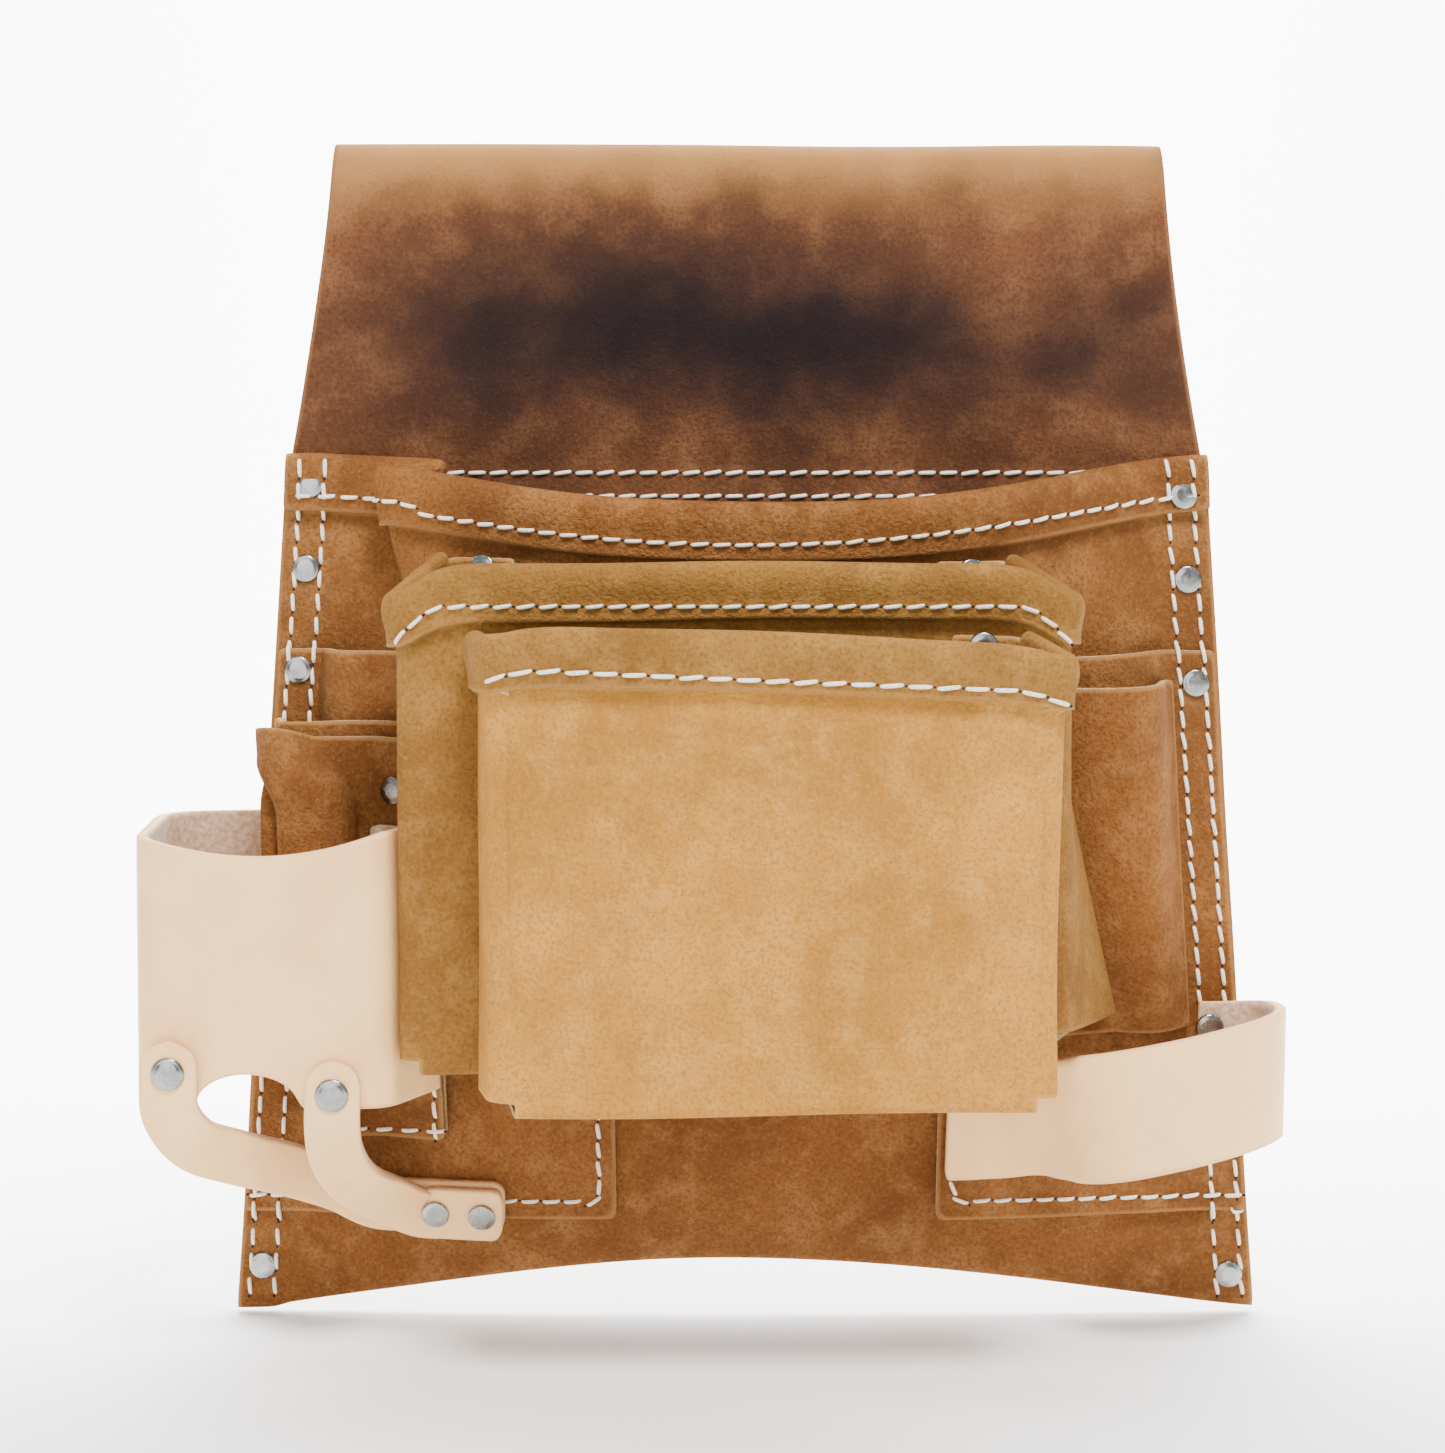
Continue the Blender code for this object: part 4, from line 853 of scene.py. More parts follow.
# The hammer loop, in mm as (to the left of its right side, out from its back end, down)
LOOP_START_DROP = 211.0 * MM
LOOP_ROUTE = (
    (8, 0, 211), (2, 4, 210), (0, 14, 208.5), (1, 28, 207.5), (9, 38, 208.5), (24, 42, 212),
    (42, 39, 216.5), (54, 31, 219.5), (63, 20, 222),
)


def hammer_loop_lattice():
    back = SEAM_FACE + LAYER + CLEARANCE + BRIDLE
    right = LOOP_RIGHT_X - BRIDLE
    start_z = -LOOP_START_DROP
    route = [Vector((half_width(start_z) - SEAM_WIDTH + 1 * MM, -back, start_z))]
    for left, out, down in LOOP_ROUTE:
        route.append(Vector((right - left * MM, -back - out * MM, -down * MM)))
    for x in (71 * MM, 63 * MM, 55 * MM):
        route.append(on_front(x, -LOOP_END_DROP, LAYER + 2 * CLEARANCE))
    centres = smooth_path(route, 96)
    end = normal_at(LOOP_END_RIVETS_X[0], -LOOP_END_DROP)
    facing = []
    for i, centre in enumerate(centres):
        along = centres[min(i + 1, len(centres) - 1)] - centres[max(i - 1, 0)]
        outward = Vector((-along.y, along.x, 0)).normalized()
        far = ease(72 * MM, 106 * MM, centre.x) if i > len(centres) / 2 else 1.0
        facing.append(mix(end, outward, far))
    return ribbon_lattice(centres, facing, [LOOP_WIDTH / 2] * len(centres))


# --- leather pieces --------------------------------------------------------------------------------

FACE, BACK, CUT = 0, 1, 2


def leather_piece(node, rows, thickness, materials, cells=None, region=None):
    """A sheet of leather on the lattice, thickened along its normals, with one material on its
    outer face, one on its back and one on its cut edge. region(r) picks the materials of a row's
    two faces where they change along the hide. It replaces the CAD node."""
    rows = [[settled(point) for point in row] for row in rows]
    kept = [
        (r, c)
        for r in range(len(rows) - 1)
        for c in range(len(rows[0]) - 1)
        if cells is None or cells(r, c)
    ]
    bm = bmesh.new()
    crease = bm.edges.layers.float.new("crease_edge")
    from_cut = bm.verts.layers.float.new("from_cut")
    inner, outer = {}, {}
    for (r, c), normal in lattice_normals(rows, kept).items():
        inner[r, c] = bm.verts.new(rows[r][c])
        outer[r, c] = bm.verts.new(rows[r][c] + normal * thickness)
    border = {}
    for r, c in kept:
        corners = [(r, c), (r, c + 1), (r + 1, c + 1), (r + 1, c)]
        face_look, back_look = region(r) if region else (FACE, BACK)
        bm.faces.new([inner[key] for key in corners]).material_index = back_look
        bm.faces.new([outer[key] for key in reversed(corners)]).material_index = face_look
        for a, b in zip(corners, corners[1:] + corners[:1]):
            if (b, a) in border:
                del border[b, a]
            else:
                border[a, b] = True
    rim = set()
    for a, b in border:
        face = bm.faces.new([inner[b], inner[a], outer[a], outer[b]])
        face.material_index = CUT
        rim |= {inner[a], outer[a]}
        bm.edges.get((inner[a], inner[b]))[crease] = 0.6
        bm.edges.get((outer[a], outer[b]))[crease] = 0.6
    tree = kdtree.KDTree(len(rim))
    for i, vert in enumerate(rim):
        tree.insert(vert.co, i)
    tree.balance()
    for vert in bm.verts:
        vert[from_cut] = tree.find(vert.co)[2]
        vert.normal_update()
    bmesh.ops.recalc_face_normals(bm, faces=bm.faces)
    mesh = bpy.data.meshes.new(node + "_leather")
    bm.to_mesh(mesh)
    bm.free()
    for material in materials:
        mesh.materials.append(material)
    mesh.shade_smooth()
    piece = linked(node + "_leather", mesh)
    smooth = piece.modifiers.new("round", "SUBSURF")
    smooth.levels = 1
    smooth.render_levels = 1
    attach(piece, "root")
    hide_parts(node)
    return piece


# --- stitching -------------------------------------------------------------------------------------


def seam_on(piece_name, marks, back=False):
    """The seam over the marks, (x, z) pairs, on the named piece: lists of places with the way
    the leather faces there. A seam stops where the leather ends."""
    graph = bpy.context.evaluated_depsgraph_get()
    surface = BVHTree.FromObject(bpy.data.objects[piece_name], graph)
    way = Vector((0, -1, 0)) if back else Vector((0, 1, 0))
    points = []
    for (x0, z0), (x1, z1) in zip(marks, marks[1:]):
        count = max(int(sqrt((x1 - x0) ** 2 + (z1 - z0) ** 2) / GUIDE_STEP), 1)
        points += [(mix(x0, x1, i / count), mix(z0, z1, i / count)) for i in range(count)]
    points.append(marks[-1])
    seams, current = [], []
    for x, z in points:
        place, normal, _, _ = surface.ray_cast(Vector((x, 0, z)) - way * 0.4, way)
        if place is None or (current and (place - current[-1][0]).length > LARGEST_JUMP):
            if len(current) > 2:
                seams.append(current)
            current = []
        if place is not None:
            if normal.dot(way) > 0:
                normal = -normal
            current.append((place, normal))
    if len(current) > 2:
        seams.append(current)
    return seams


def seam_guide(name, seams):
    """A mesh of bare edges along the seams, each point knowing which way the leather faces."""
    points, edges, facing = [], [], []
    for seam in seams:
        start = len(points)
        points += [place for place, _ in seam]
        facing += [normal for _, normal in seam]
        edges += [(i, i + 1) for i in range(start, len(points) - 1)]
    mesh = bpy.data.meshes.new(name)
    mesh.from_pydata(points, edges, [])
    attribute = mesh.attributes.new("facing", "FLOAT_VECTOR", "POINT")
    attribute.data.foreach_set("vector", [value for normal in facing for value in normal])
    return linked(name, mesh)


def add(tree, kind, inputs=None, **settings):
    """Adds a node with its settings; each input is a value or the socket it is linked from."""
    node = tree.nodes.new(kind)
    for key, value in settings.items():
        setattr(node, key, value)
    for key, value in (inputs or {}).items():
        if isinstance(value, bpy.types.NodeSocket):
            tree.links.new(value, node.inputs[key])
        else:
            node.inputs[key].default_value = value
    return node


def placing_tree(name, along_curve):
    """A tree that sets a part on every point of a guide, or at even steps along it, standing the
    way the guide's points face."""
    tree = bpy.data.node_groups.new(name, "GeometryNodeTree")
    sockets = {}
    for label, kind in (
        ("Geometry", "NodeSocketGeometry"),
        ("Part", "NodeSocketObject"),
        ("Step", "NodeSocketFloat"),
        ("Wander", "NodeSocketFloat"),
        ("Seed", "NodeSocketInt"),
        ("Material", "NodeSocketMaterial"),
    ):
        sockets[label] = tree.interface.new_socket(label, in_out="INPUT", socket_type=kind)
    tree.interface.new_socket("Geometry", in_out="OUTPUT", socket_type="NodeSocketGeometry")
    given = add(tree, "NodeGroupInput").outputs
    facing = add(tree, "GeometryNodeInputNamedAttribute", {"Name": "facing"}, data_type="FLOAT_VECTOR")
    facing = facing.outputs["Attribute"]
    points = given["Geometry"]
    if along_curve:
        curve = add(tree, "GeometryNodeMeshToCurve", {"Mesh": points}).outputs["Curve"]
        measures = {"Curve": curve, "Length": given["Step"]}
        points = add(tree, "GeometryNodeResampleCurve", measures, mode="LENGTH").outputs["Curve"]
        tangent = add(tree, "GeometryNodeInputTangent").outputs["Tangent"]
        turn = add(
            tree,
            "FunctionNodeAxesToRotation",
            {"Primary Axis": facing, "Secondary Axis": tangent},
            primary_axis="Z",
            secondary_axis="X",
        )
        size = (1.0, 1.0, 1.0)
    else:
        turn = add(tree, "FunctionNodeAlignRotationToVector", {"Vector": facing}, axis="Z")
        size = add(tree, "GeometryNodeInputNamedAttribute", {"Name": "size"}, data_type="FLOAT")
        size = size.outputs["Attribute"]
    low = add(tree, "ShaderNodeMath", {0: given["Wander"], 1: -1.0}, operation="MULTIPLY")
    spin = add(
        tree,
        "FunctionNodeRandomValue",
        {2: low.outputs[0], 3: given["Wander"], "Seed": given["Seed"]},
        data_type="FLOAT",
    )
    about = add(tree, "ShaderNodeCombineXYZ", {"Z": spin.outputs[1]})
    spun = add(
        tree,
        "FunctionNodeRotateRotation",
        {"Rotation": turn.outputs["Rotation"], "Rotate By": about.outputs[0]},
        rotation_space="LOCAL",
    )
    part = add(tree, "GeometryNodeObjectInfo", {"Object": given["Part"]}).outputs["Geometry"]
    placed = add(
        tree,
        "GeometryNodeInstanceOnPoints",
        {
            "Points": points,
            "Instance": part,
            "Rotation": spun.outputs["Rotation"],
            "Scale": size,
        },
    )
    real = add(tree, "GeometryNodeRealizeInstances", {"Geometry": placed.outputs["Instances"]})
    dressed = add(
        tree,
        "GeometryNodeSetMaterial",
        {"Geometry": real.outputs["Geometry"], "Material": given["Material"]},
    )
    add(tree, "NodeGroupOutput", {"Geometry": dressed.outputs["Geometry"]})
    return tree, {label: socket.identifier for label, socket in sockets.items()}


def placed_piece(name, guide, part, along_curve, step, wander, seed, material, slot):
    """Runs the placing tree on the guide and keeps its result as a plain mesh. The guide and
    the part are used up."""
    tree, sockets = placing_tree(name + "_placing", along_curve)
    modifier = guide.modifiers.new("placing", "NODES")
    modifier.node_group = tree
    for label, value in (
        ("Part", part),
        ("Step", step),
        ("Wander", wander),
        ("Seed", seed),
        ("Material", material),
    ):
        modifier[sockets[label]] = value
    graph = bpy.context.evaluated_depsgraph_get()
    graph.update()
    mesh = bpy.data.meshes.new_from_object(guide.evaluated_get(graph))
    mesh.name = name
    mesh.shade_smooth()
    guide.modifiers.remove(modifier)
    for used in (guide, part):
        bpy.data.objects.remove(used, do_unlink=True)
    piece = linked(name, mesh)
    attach(piece, "root")
    return piece


def hidden_part(name, bm):
    """A part for a placing tree, kept out of the scene's collections."""
    mesh = bpy.data.meshes.new(name)
    bmesh.ops.recalc_face_normals(bm, faces=bm.faces)
    bm.to_mesh(mesh)
    bm.free()
    return bpy.data.objects.new(name, mesh)


def ring_body(bm, rings, sides):
    """Faces over rings of points; a ring of one point closes an end."""
    made = [[bm.verts.new(point) for point in ring] for ring in rings]
    for upper, lower in zip(made, made[1:]):
        for k in range(sides):
            after = (k + 1) % sides
            corners = [upper[k % len(upper)], lower[k % len(lower)]]
            corners += [lower[after % len(lower)], upper[after % len(upper)]]
            bm.faces.new(dict.fromkeys(corners))


def stitch_part(length, thread):
    """One stitch: a short thread that arches out of the leather and dives back at both ends."""
    bm = bmesh.new()
    rings = []
    sides = 8
    for t in (-1.0, -0.92, -0.6, -0.2, 0.2, 0.6, 0.92, 1.0):
        height = thread * (0.36 - 1.05 * abs(t) ** 6)
        radius = thread / 2 * (1 - 0.35 * abs(t) ** 4)
        centre = Vector((length / 2 * t, thread * 0.22 * t, height))
        ring = []
        for k in range(sides):
            angle = 2 * pi * k / sides
            ring.append(centre + Vector((0, radius * cos(angle), radius * 0.85 * sin(angle))))
        rings.append(ring)
    caps = [[ring[0].lerp(ring[sides // 2], 0.5)] for ring in (rings[0], rings[-1])]
    ring_body(bm, [caps[0], *rings, caps[1]], sides)
    return hidden_part("stitch", bm)


def hole_part(step, radius):
    """A needle hole: a flat dark bead of painted shade, half a step along from its stitch."""
    bm = bmesh.new()
    rings = [[Vector((step / 2, 0, 0.06 * MM))]]
    for share, height in ((0.7, 0.05 * MM), (1.0, -0.05 * MM), (0.7, -0.3 * MM)):
        ring = []
        for k in range(8):
            angle = 2 * pi * k / 8
            spoke = Vector((1.25 * cos(angle), sin(angle), 0)) * (radius * share)
            ring.append(spoke + Vector((step / 2, 0, height)))
        rings.append(ring)
    rings.append([Vector((step / 2, 0, -0.35 * MM))])
    ring_body(bm, rings, 8)
    return hidden_part("needle_hole", bm)


# --- rivets ----------------------------------------------------------------------------------------


def rivet_seats():
    """Node, underside of the head, the way it faces, distance to the burr and head size."""
    forward = Vector((0, -1, 0))
    seats = []
    for side, sign, stagger in (("left", -1, 0.0), ("right", 1, SEAM_RIVET_STAGGER)):
        for i, drop in enumerate(SEAM_RIVET_DROPS):
            z = -drop - stagger
            face = SEAM_FACE
            grip = face - PANEL_BACK
            if i == 0:
                face += SUEDE + CLEARANCE
                grip = face + PANEL_FACE
            if i == 2:
                face += LAYER
                grip += LAYER
            x = sign * (half_width(z) - SEAM_WIDTH / 2)
            node = f"seam_rivet_{side}_{i + 1}"
            seats.append((node, Vector((x, -face, z)), forward, grip, RIVET_HEAD))
    z = -REAR_TOP_DROP - 4 * MM
    for side, x in (
        ("left", REAR_ROOT_LEFT_X + FLANGE / 2),
        ("right", root_right(z) - FLANGE / 2),
    ):
        grip = rear_stack(x, z) + LAYER + CLEARANCE + SUEDE
        node = f"rear_pocket_rivet_{side}"
        seats.append((node, rear_ground(x, z), normal_at(x, z), grip, RIVET_HEAD))
    z = -REAR_TOP_DROP - HEM - 6 * MM
    for side, x in (
        ("left", FRONT_ROOT_LEFT_X + FLANGE / 2),
        ("right", FRONT_ROOT_RIGHT_X - FLANGE / 2),
    ):
        node = f"front_pocket_rivet_{side}"
        grip = 2 * SUEDE + CLEARANCE
        seats.append((node, front_ground(x, z), forward, grip, RIVET_HEAD))
    x, z = (SLOT_FLAT_X + SLOT_RIGHT_X) / 2 + 2 * MM, -SLOT_MOUTH_DROP - 18 * MM
    grip = 2 * (SUEDE + SLOT_STAND) + CLEARANCE / 2 + SUEDE
    top = on_front(x, z, LAYER + grip - SUEDE)
    seats.append(("slot_rivet", top, normal_at(x, z), grip + LAYER, RIVET_HEAD))
    back = SEAM_FACE + LAYER + CLEARANCE + BRIDLE
    for i, drop in enumerate(HOLDER_RIVET_DROPS):
        z = -drop
        top = Vector((-half_width(z) + SEAM_WIDTH / 2, -back, z))
        node = f"holder_back_rivet_{i + 1}"
        seats.append((node, top, forward, back - PANEL_BACK, WIDE_RIVET_HEAD))
        x = (HOLDER_TURN_X + HOLDER_END_X) / 2
        grip = LAYER + HOLDER_STAND + BRIDLE + SUEDE
        node = f"holder_end_rivet_{i + 1}"
        seats.append((node, holder_end(x, z), normal_at(x, z), grip, RIVET_HEAD))
    for side, x, drop in (
        ("left", LEFT_STRAP_X, LEFT_STRAP_RIVET_DROP),
        ("right", RIGHT_STRAP_X, RIGHT_STRAP_RIVET_DROP),
    ):
        top = Vector((x, -HOLDER_FACE - CLEARANCE - BRIDLE, -drop))
        grip = 2 * BRIDLE + CLEARANCE
        seats.append((f"strap_rivet_{side}", top, forward, grip, WIDE_RIVET_HEAD))
    for i, x in enumerate(BASE_RIVETS_X):
        height = BRIDLE if i == 0 else 2 * BRIDLE + 2 * CLEARANCE
        grip = height + 3 * CLEARANCE + LAYER + SUEDE
        node = f"strap_base_rivet_{i + 1}"
        seats.append((node, strap_base(x, height), normal_at(x, -BASE_DROP), grip, RIVET_HEAD))
    for i, drop in enumerate(LOOP_RIVET_DROPS):
        x = half_width(-drop) - SEAM_WIDTH / 2 - 2 * MM
        node = f"loop_back_rivet_{i + 1}"
        seats.append((node, Vector((x, -back, -drop)), forward, back - PANEL_BACK, RIVET_HEAD))
    for i, x in enumerate(LOOP_END_RIVETS_X):
        z = -LOOP_END_DROP + LOOP_WIDTH / 4
        top = on_front(x, z, LAYER + 2 * CLEARANCE + BRIDLE)
        grip = LAYER + 2 * CLEARANCE + BRIDLE + SUEDE
        seats.append((f"loop_end_rivet_{i + 1}", top, normal_at(x, z), grip, RIVET_HEAD))
    return seats


def lathed_part(name, profile, sides):
    """A closed part turned from (radius, height) points about Z."""
    bm = bmesh.new()
    rings = []
    for radius, height in profile:
        if radius == 0:
            rings.append([Vector((0, 0, height))])
            continue
        rings.append([
            Vector((radius * cos(2 * pi * k / sides), radius * sin(2 * pi * k / sides), height))
            for k in range(sides)
        ])
    ring_body(bm, rings, sides)
    return hidden_part(name, bm)


# --- finishes --------------------------------------------------------------------------------------


def linear(code):
    """Linear colour of an sRGB hex value."""
    channels = [int(code[i:i + 2], 16) / 255 for i in (1, 3, 5)]
    return tuple(c / 12.92 if c <= 0.04045 else ((c + 0.055) / 1.055) ** 2.4 for c in channels)


def finish(name, values, noises):
    """A new material: its tree, its shader set to the values, the piece's own coordinates, and
    a noise for each patch size, detail, roughness and distortion."""
    material = bpy.data.materials.new(name)
    material.use_nodes = True
    tree = material.node_tree
    shader = tree.nodes["Principled BSDF"]
    for key, value in values.items():
        shader.inputs[key].default_value = value
    coords = add(tree, "ShaderNodeTexCoord").outputs["Object"]
    grains = []
    for size, detail, roughness, distortion in noises:
        noise_node = add(
            tree,
            "ShaderNodeTexNoise",
            {
                "Vector": coords,
                "Scale": 1 / size,
                "Detail": detail,
                "Roughness": roughness,
                "Distortion": distortion,
            },
        )
        grains.append(noise_node.outputs["Fac"])
    return material, tree, shader, coords, grains


def coated(tree, color, coats):
    """Lays coats over a colour. Each is a mask, the range it is read over, how much the coat
    covers at both ends of that range, and the coat's colour."""
    for mask, low, high, at_low, at_high, coat in coats:
        cover = add(
            tree,
            "ShaderNodeMapRange",
            {"Value": mask, 1: low, 2: high, 3: at_low, 4: at_high},
            interpolation_type="SMOOTHSTEP",
        )
        mixed = add(tree, "ShaderNodeMix", {0: cover.outputs[0], 6: color, 7: coat}, data_type="RGBA")
        color = mixed.outputs[2]
    return color


def dressed(tree, shader, color, bumps):
    """Joins the colour to the shader, and the bumps, finest first, each a height, its strength
    and its distance."""
    tree.links.new(color, shader.inputs["Base Color"])
    below = {}
    for height, strength, distance in bumps:
        settings = {"Height": height, "Strength": strength, "Distance": distance}
        bump = add(tree, "ShaderNodeBump", settings | below)
        below = {"Normal": bump.outputs[0]}
    if below:
        tree.links.new(below["Normal"], shader.inputs["Normal"])


def dimmed(color, share):
    return (*(channel * share for channel in color[:3]), 1.0)


def from_cut(tree):
    """How far each place is from the leather's cut edge."""
    return add(tree, "ShaderNodeAttribute", attribute_name="from_cut").outputs["Fac"]


def suede(name, shade, body, lit, nap_depth, sheen, painted_light_coats=None):
    """Split cowhide suede, brushed and dyed: a short nap that catches light in soft patches where
    it was stroked one way or the other, paler where the cut edge frays. Its fibres are about
    0.1 mm wide, too fine to show on a whole bag, so the nap is drawn in tufts of 1.1 mm."""
    material, tree, shader, coords, (patches, strokes, nap, fibre) = finish(
        name,
        {
            "Roughness": 0.95,
            "Specular IOR Level": 0.12,
            "Sheen Weight": sheen,
            "Sheen Roughness": 0.45,
            "Sheen Tint": lit,
        },
        (
            (46 * MM, 3.0, 0.5, 0.0),
            (11 * MM, 4.0, 0.62, 0.0),
            (1.1 * MM, 3.0, 0.7, 0.0),
            (0.5 * MM, 2.0, 0.6, 0.0),
        ),
    )
    coats = [
        (patches, 0.3, 0.7, 0.25, 1.0, body),
        (strokes, 0.42, 0.72, 0.0, 0.5, lit),
        (nap, 0.34, 0.54, 0.6, 0.0, shade),
        (nap, 0.54, 0.74, 0.0, 0.4, lit),
    ]
    if painted_light_coats:
        coats += painted_light_coats(tree, coords, patches)
    coats.append((from_cut(tree), 0.3 * MM, 1.5 * MM, 0.75, 0.0, lit))
    bumps = (
        (fibre, 0.55, nap_depth * 0.5),
        (nap, 1.0, 2 * nap_depth),
        (strokes, 0.5, 1.1 * MM),
    )
    dressed(tree, shader, coated(tree, shade, coats), bumps)
    return material


def tunnel_painted_light(dark, pale):
    """Coats for the belt tunnel: painted shade darkens its front's middle, and a painted highlight
    lightens its top fold."""

    def painted_light_coats(tree, coords, patches):
        spot = add(
            tree,
            "ShaderNodeMapping",
            {"Vector": coords, "Location": (0.0, 0.4, 0.27), "Scale": (7.0, 50.0, 29.0)},
        )
        reach = add(tree, "ShaderNodeVectorMath", {0: spot.outputs[0]}, operation="LENGTH")
        height = add(tree, "ShaderNodeSeparateXYZ", {0: coords})
        masks = []
        for measure, uneven in ((reach.outputs["Value"], 1.1), (height.outputs["Z"], 0.03)):
            wander = add(tree, "ShaderNodeMath", {0: patches, 1: uneven}, operation="MULTIPLY")
            mask = add(
                tree, "ShaderNodeMath", {0: measure, 1: wander.outputs[0]}, operation="ADD"
            )
            masks.append(mask.outputs[0])
        # Painted shade over the tunnel front's middle, painted highlight along its top fold
        return [
            (masks[0], 0.7, 1.95, 1.0, 0.0, dark),
            (masks[1], 0.036, 0.064, 0.0, 0.85, pale),
        ]

    return painted_light_coats


def cut_edge(name, fibre_color, shade):
    """The raw cut edge of a hide, where the fibres show pale between darker layers."""
    material, tree, shader, _, (fibres,) = finish(
        name, {"Roughness": 0.95}, ((0.8 * MM, 4.0, 0.7, 0.0),)
    )
    color = coated(tree, shade, ((fibres, 0.35, 0.62, 0.0, 1.0, fibre_color),))
    dressed(tree, shader, color, ((fibres, 0.8, 0.3 * MM),))
    return material


def bridle_grain(name, pale, warm):
    """Undyed vegetable tanned cowhide, grain side: smooth and slightly waxy, with tiny pores and
    faint cloudy patches where it has begun to tan. Its pores are drawn coarser than real."""
    material, tree, shader, coords, (cloud, veins) = finish(
        name,
        {
            "Roughness": 0.5,
            "Specular IOR Level": 0.35,
            "Subsurface Weight": 0.06,
            "Subsurface Radius": (1.2 * MM, 0.6 * MM, 0.3 * MM),
        },
        ((30 * MM, 4.0, 0.55, 0.3), (5 * MM, 5.0, 0.6, 1.2)),
    )
    coats = (
        (cloud, 0.38, 0.68, 0.0, 1.0, warm),
        (veins, 0.55, 0.75, 0.0, 0.35, warm),
        (from_cut(tree), 0.0, 1.2 * MM, 0.45, 0.0, warm),
    )
    pores = add(
        tree,
        "ShaderNodeTexVoronoi",
        {"Vector": coords, "Scale": 1 / (0.9 * MM), "Randomness": 1.0},
    ).outputs["Distance"]
    bumps = ((pores, 0.2, 0.12 * MM), (veins, 0.35, 0.5 * MM))
    dressed(tree, shader, coated(tree, pale, coats), bumps)
    return material


def bridle_flesh(name, pale, shade):
    """The flesh side of the same hide: matt, fibrous and darker."""
    material, tree, shader, _, (fuzz, patches) = finish(
        name,
        {"Roughness": 0.92, "Sheen Weight": 0.15},
        ((1.6 * MM, 5.0, 0.7, 0.0), (18 * MM, 3.0, 0.55, 0.0)),
    )
    coats = ((fuzz, 0.32, 0.66, 0.0, 1.0, pale), (patches, 0.45, 0.75, 0.0, 0.4, shade))
    dressed(tree, shader, coated(tree, shade, coats), ((fuzz, 0.7, 0.4 * MM),))
    return material


def nickel_plated(name, color):
    """Nickel plated steel rivets: drawn bright, with fine handling scratches and a dull bloom."""
    material, tree, shader, _, (haze, fine) = finish(
        name, {"Metallic": 1.0}, ((2.2 * MM, 4.0, 0.6, 0.0), (0.35 * MM, 2.0, 0.55, 0.0))
    )
    gloss = add(
        tree,
        "ShaderNodeMapRange",
        {"Value": haze, 1: 0.3, 2: 0.7, 3: 0.14, 4: 0.3},
        interpolation_type="SMOOTHSTEP",
    )
    tree.links.new(gloss.outputs[0], shader.inputs["Roughness"])
    tone = coated(tree, dimmed(color, 0.72), ((haze, 0.35, 0.7, 0.0, 1.0, color),))
    dressed(tree, shader, tone, ((fine, 0.12, 0.05 * MM),))
    return material


def waxed_thread(name, color, shade):
    """Bonded polyester thread, waxed: two plies twisted together, so the light beads along it."""
    material, tree, shader, _, (ply, soil) = finish(
        name,
        {"Roughness": 0.6, "Sheen Weight": 0.2},
        ((0.55 * MM, 2.0, 0.5, 0.6), (14 * MM, 3.0, 0.55, 0.0)),
    )
    coats = ((ply, 0.3, 0.6, 0.0, 1.0, color), (soil, 0.5, 0.8, 0.0, 0.3, shade))
    dressed(tree, shader, coated(tree, shade, coats), ((ply, 0.6, 0.25 * MM),))
    return material


def plain(name, color, roughness, size, dim):
    """A matt finish with a trace of grain: the inside of a needle hole, leather in its own
    shadow, or seamless paper with its tooth."""
    material, tree, shader, _, (grain,) = finish(
        name, {"Roughness": roughness}, ((size, 3.0, 0.55, 0.0),)
    )
    tone = coated(tree, dimmed(color, dim), ((grain, 0.3, 0.7, 0.0, 1.0, color),))
    dressed(tree, shader, tone, ())
    return material


# --- settings and operators --------------------------------------------------------------------------


def color_setting(name, description, code):
    return FloatVectorProperty(
        name=name,
        description=description,
        subtype="COLOR",
        size=3,
        min=0.0,
        max=1.0,
        default=linear(code),
    )


def length_setting(name, description, default):
    return FloatProperty(
        name=name,
        description=description,
        subtype="DISTANCE",
        unit="LENGTH",
        min=0.0,
        default=default,
    )


class BagSizes(bpy.types.PropertyGroup):
    """Sizes of the soft detail"""

    settle: length_setting("Settle", "How far soft leather wanders from its pattern", 1.3 * MM)
    settle_wave: length_setting("Settle wave", "Width of the leather's slow waves", 75 * MM)
    hem_roll: length_setting("Hem roll", "How far a turned hem stands rounded off the pocket", 1.4 * MM)
    pillow: length_setting("Pillow", "How far the front nail pocket's face stands out", 4.0 * MM)
    stitch_step: length_setting("Stitch step", "Distance between needle holes", 5.9 * MM)
    long_stitch_step: length_setting("Long stitch step", "The same on the front nail pocket", 7.2 * MM)
    stitch_gap: length_setting("Stitch gap", "Leather between two stitches", 0.7 * MM)
    thread: length_setting("Thread", "Thickness of the thread", 1.15 * MM)
    needle: length_setting("Needle hole", "Radius of a needle hole", 0.42 * MM)


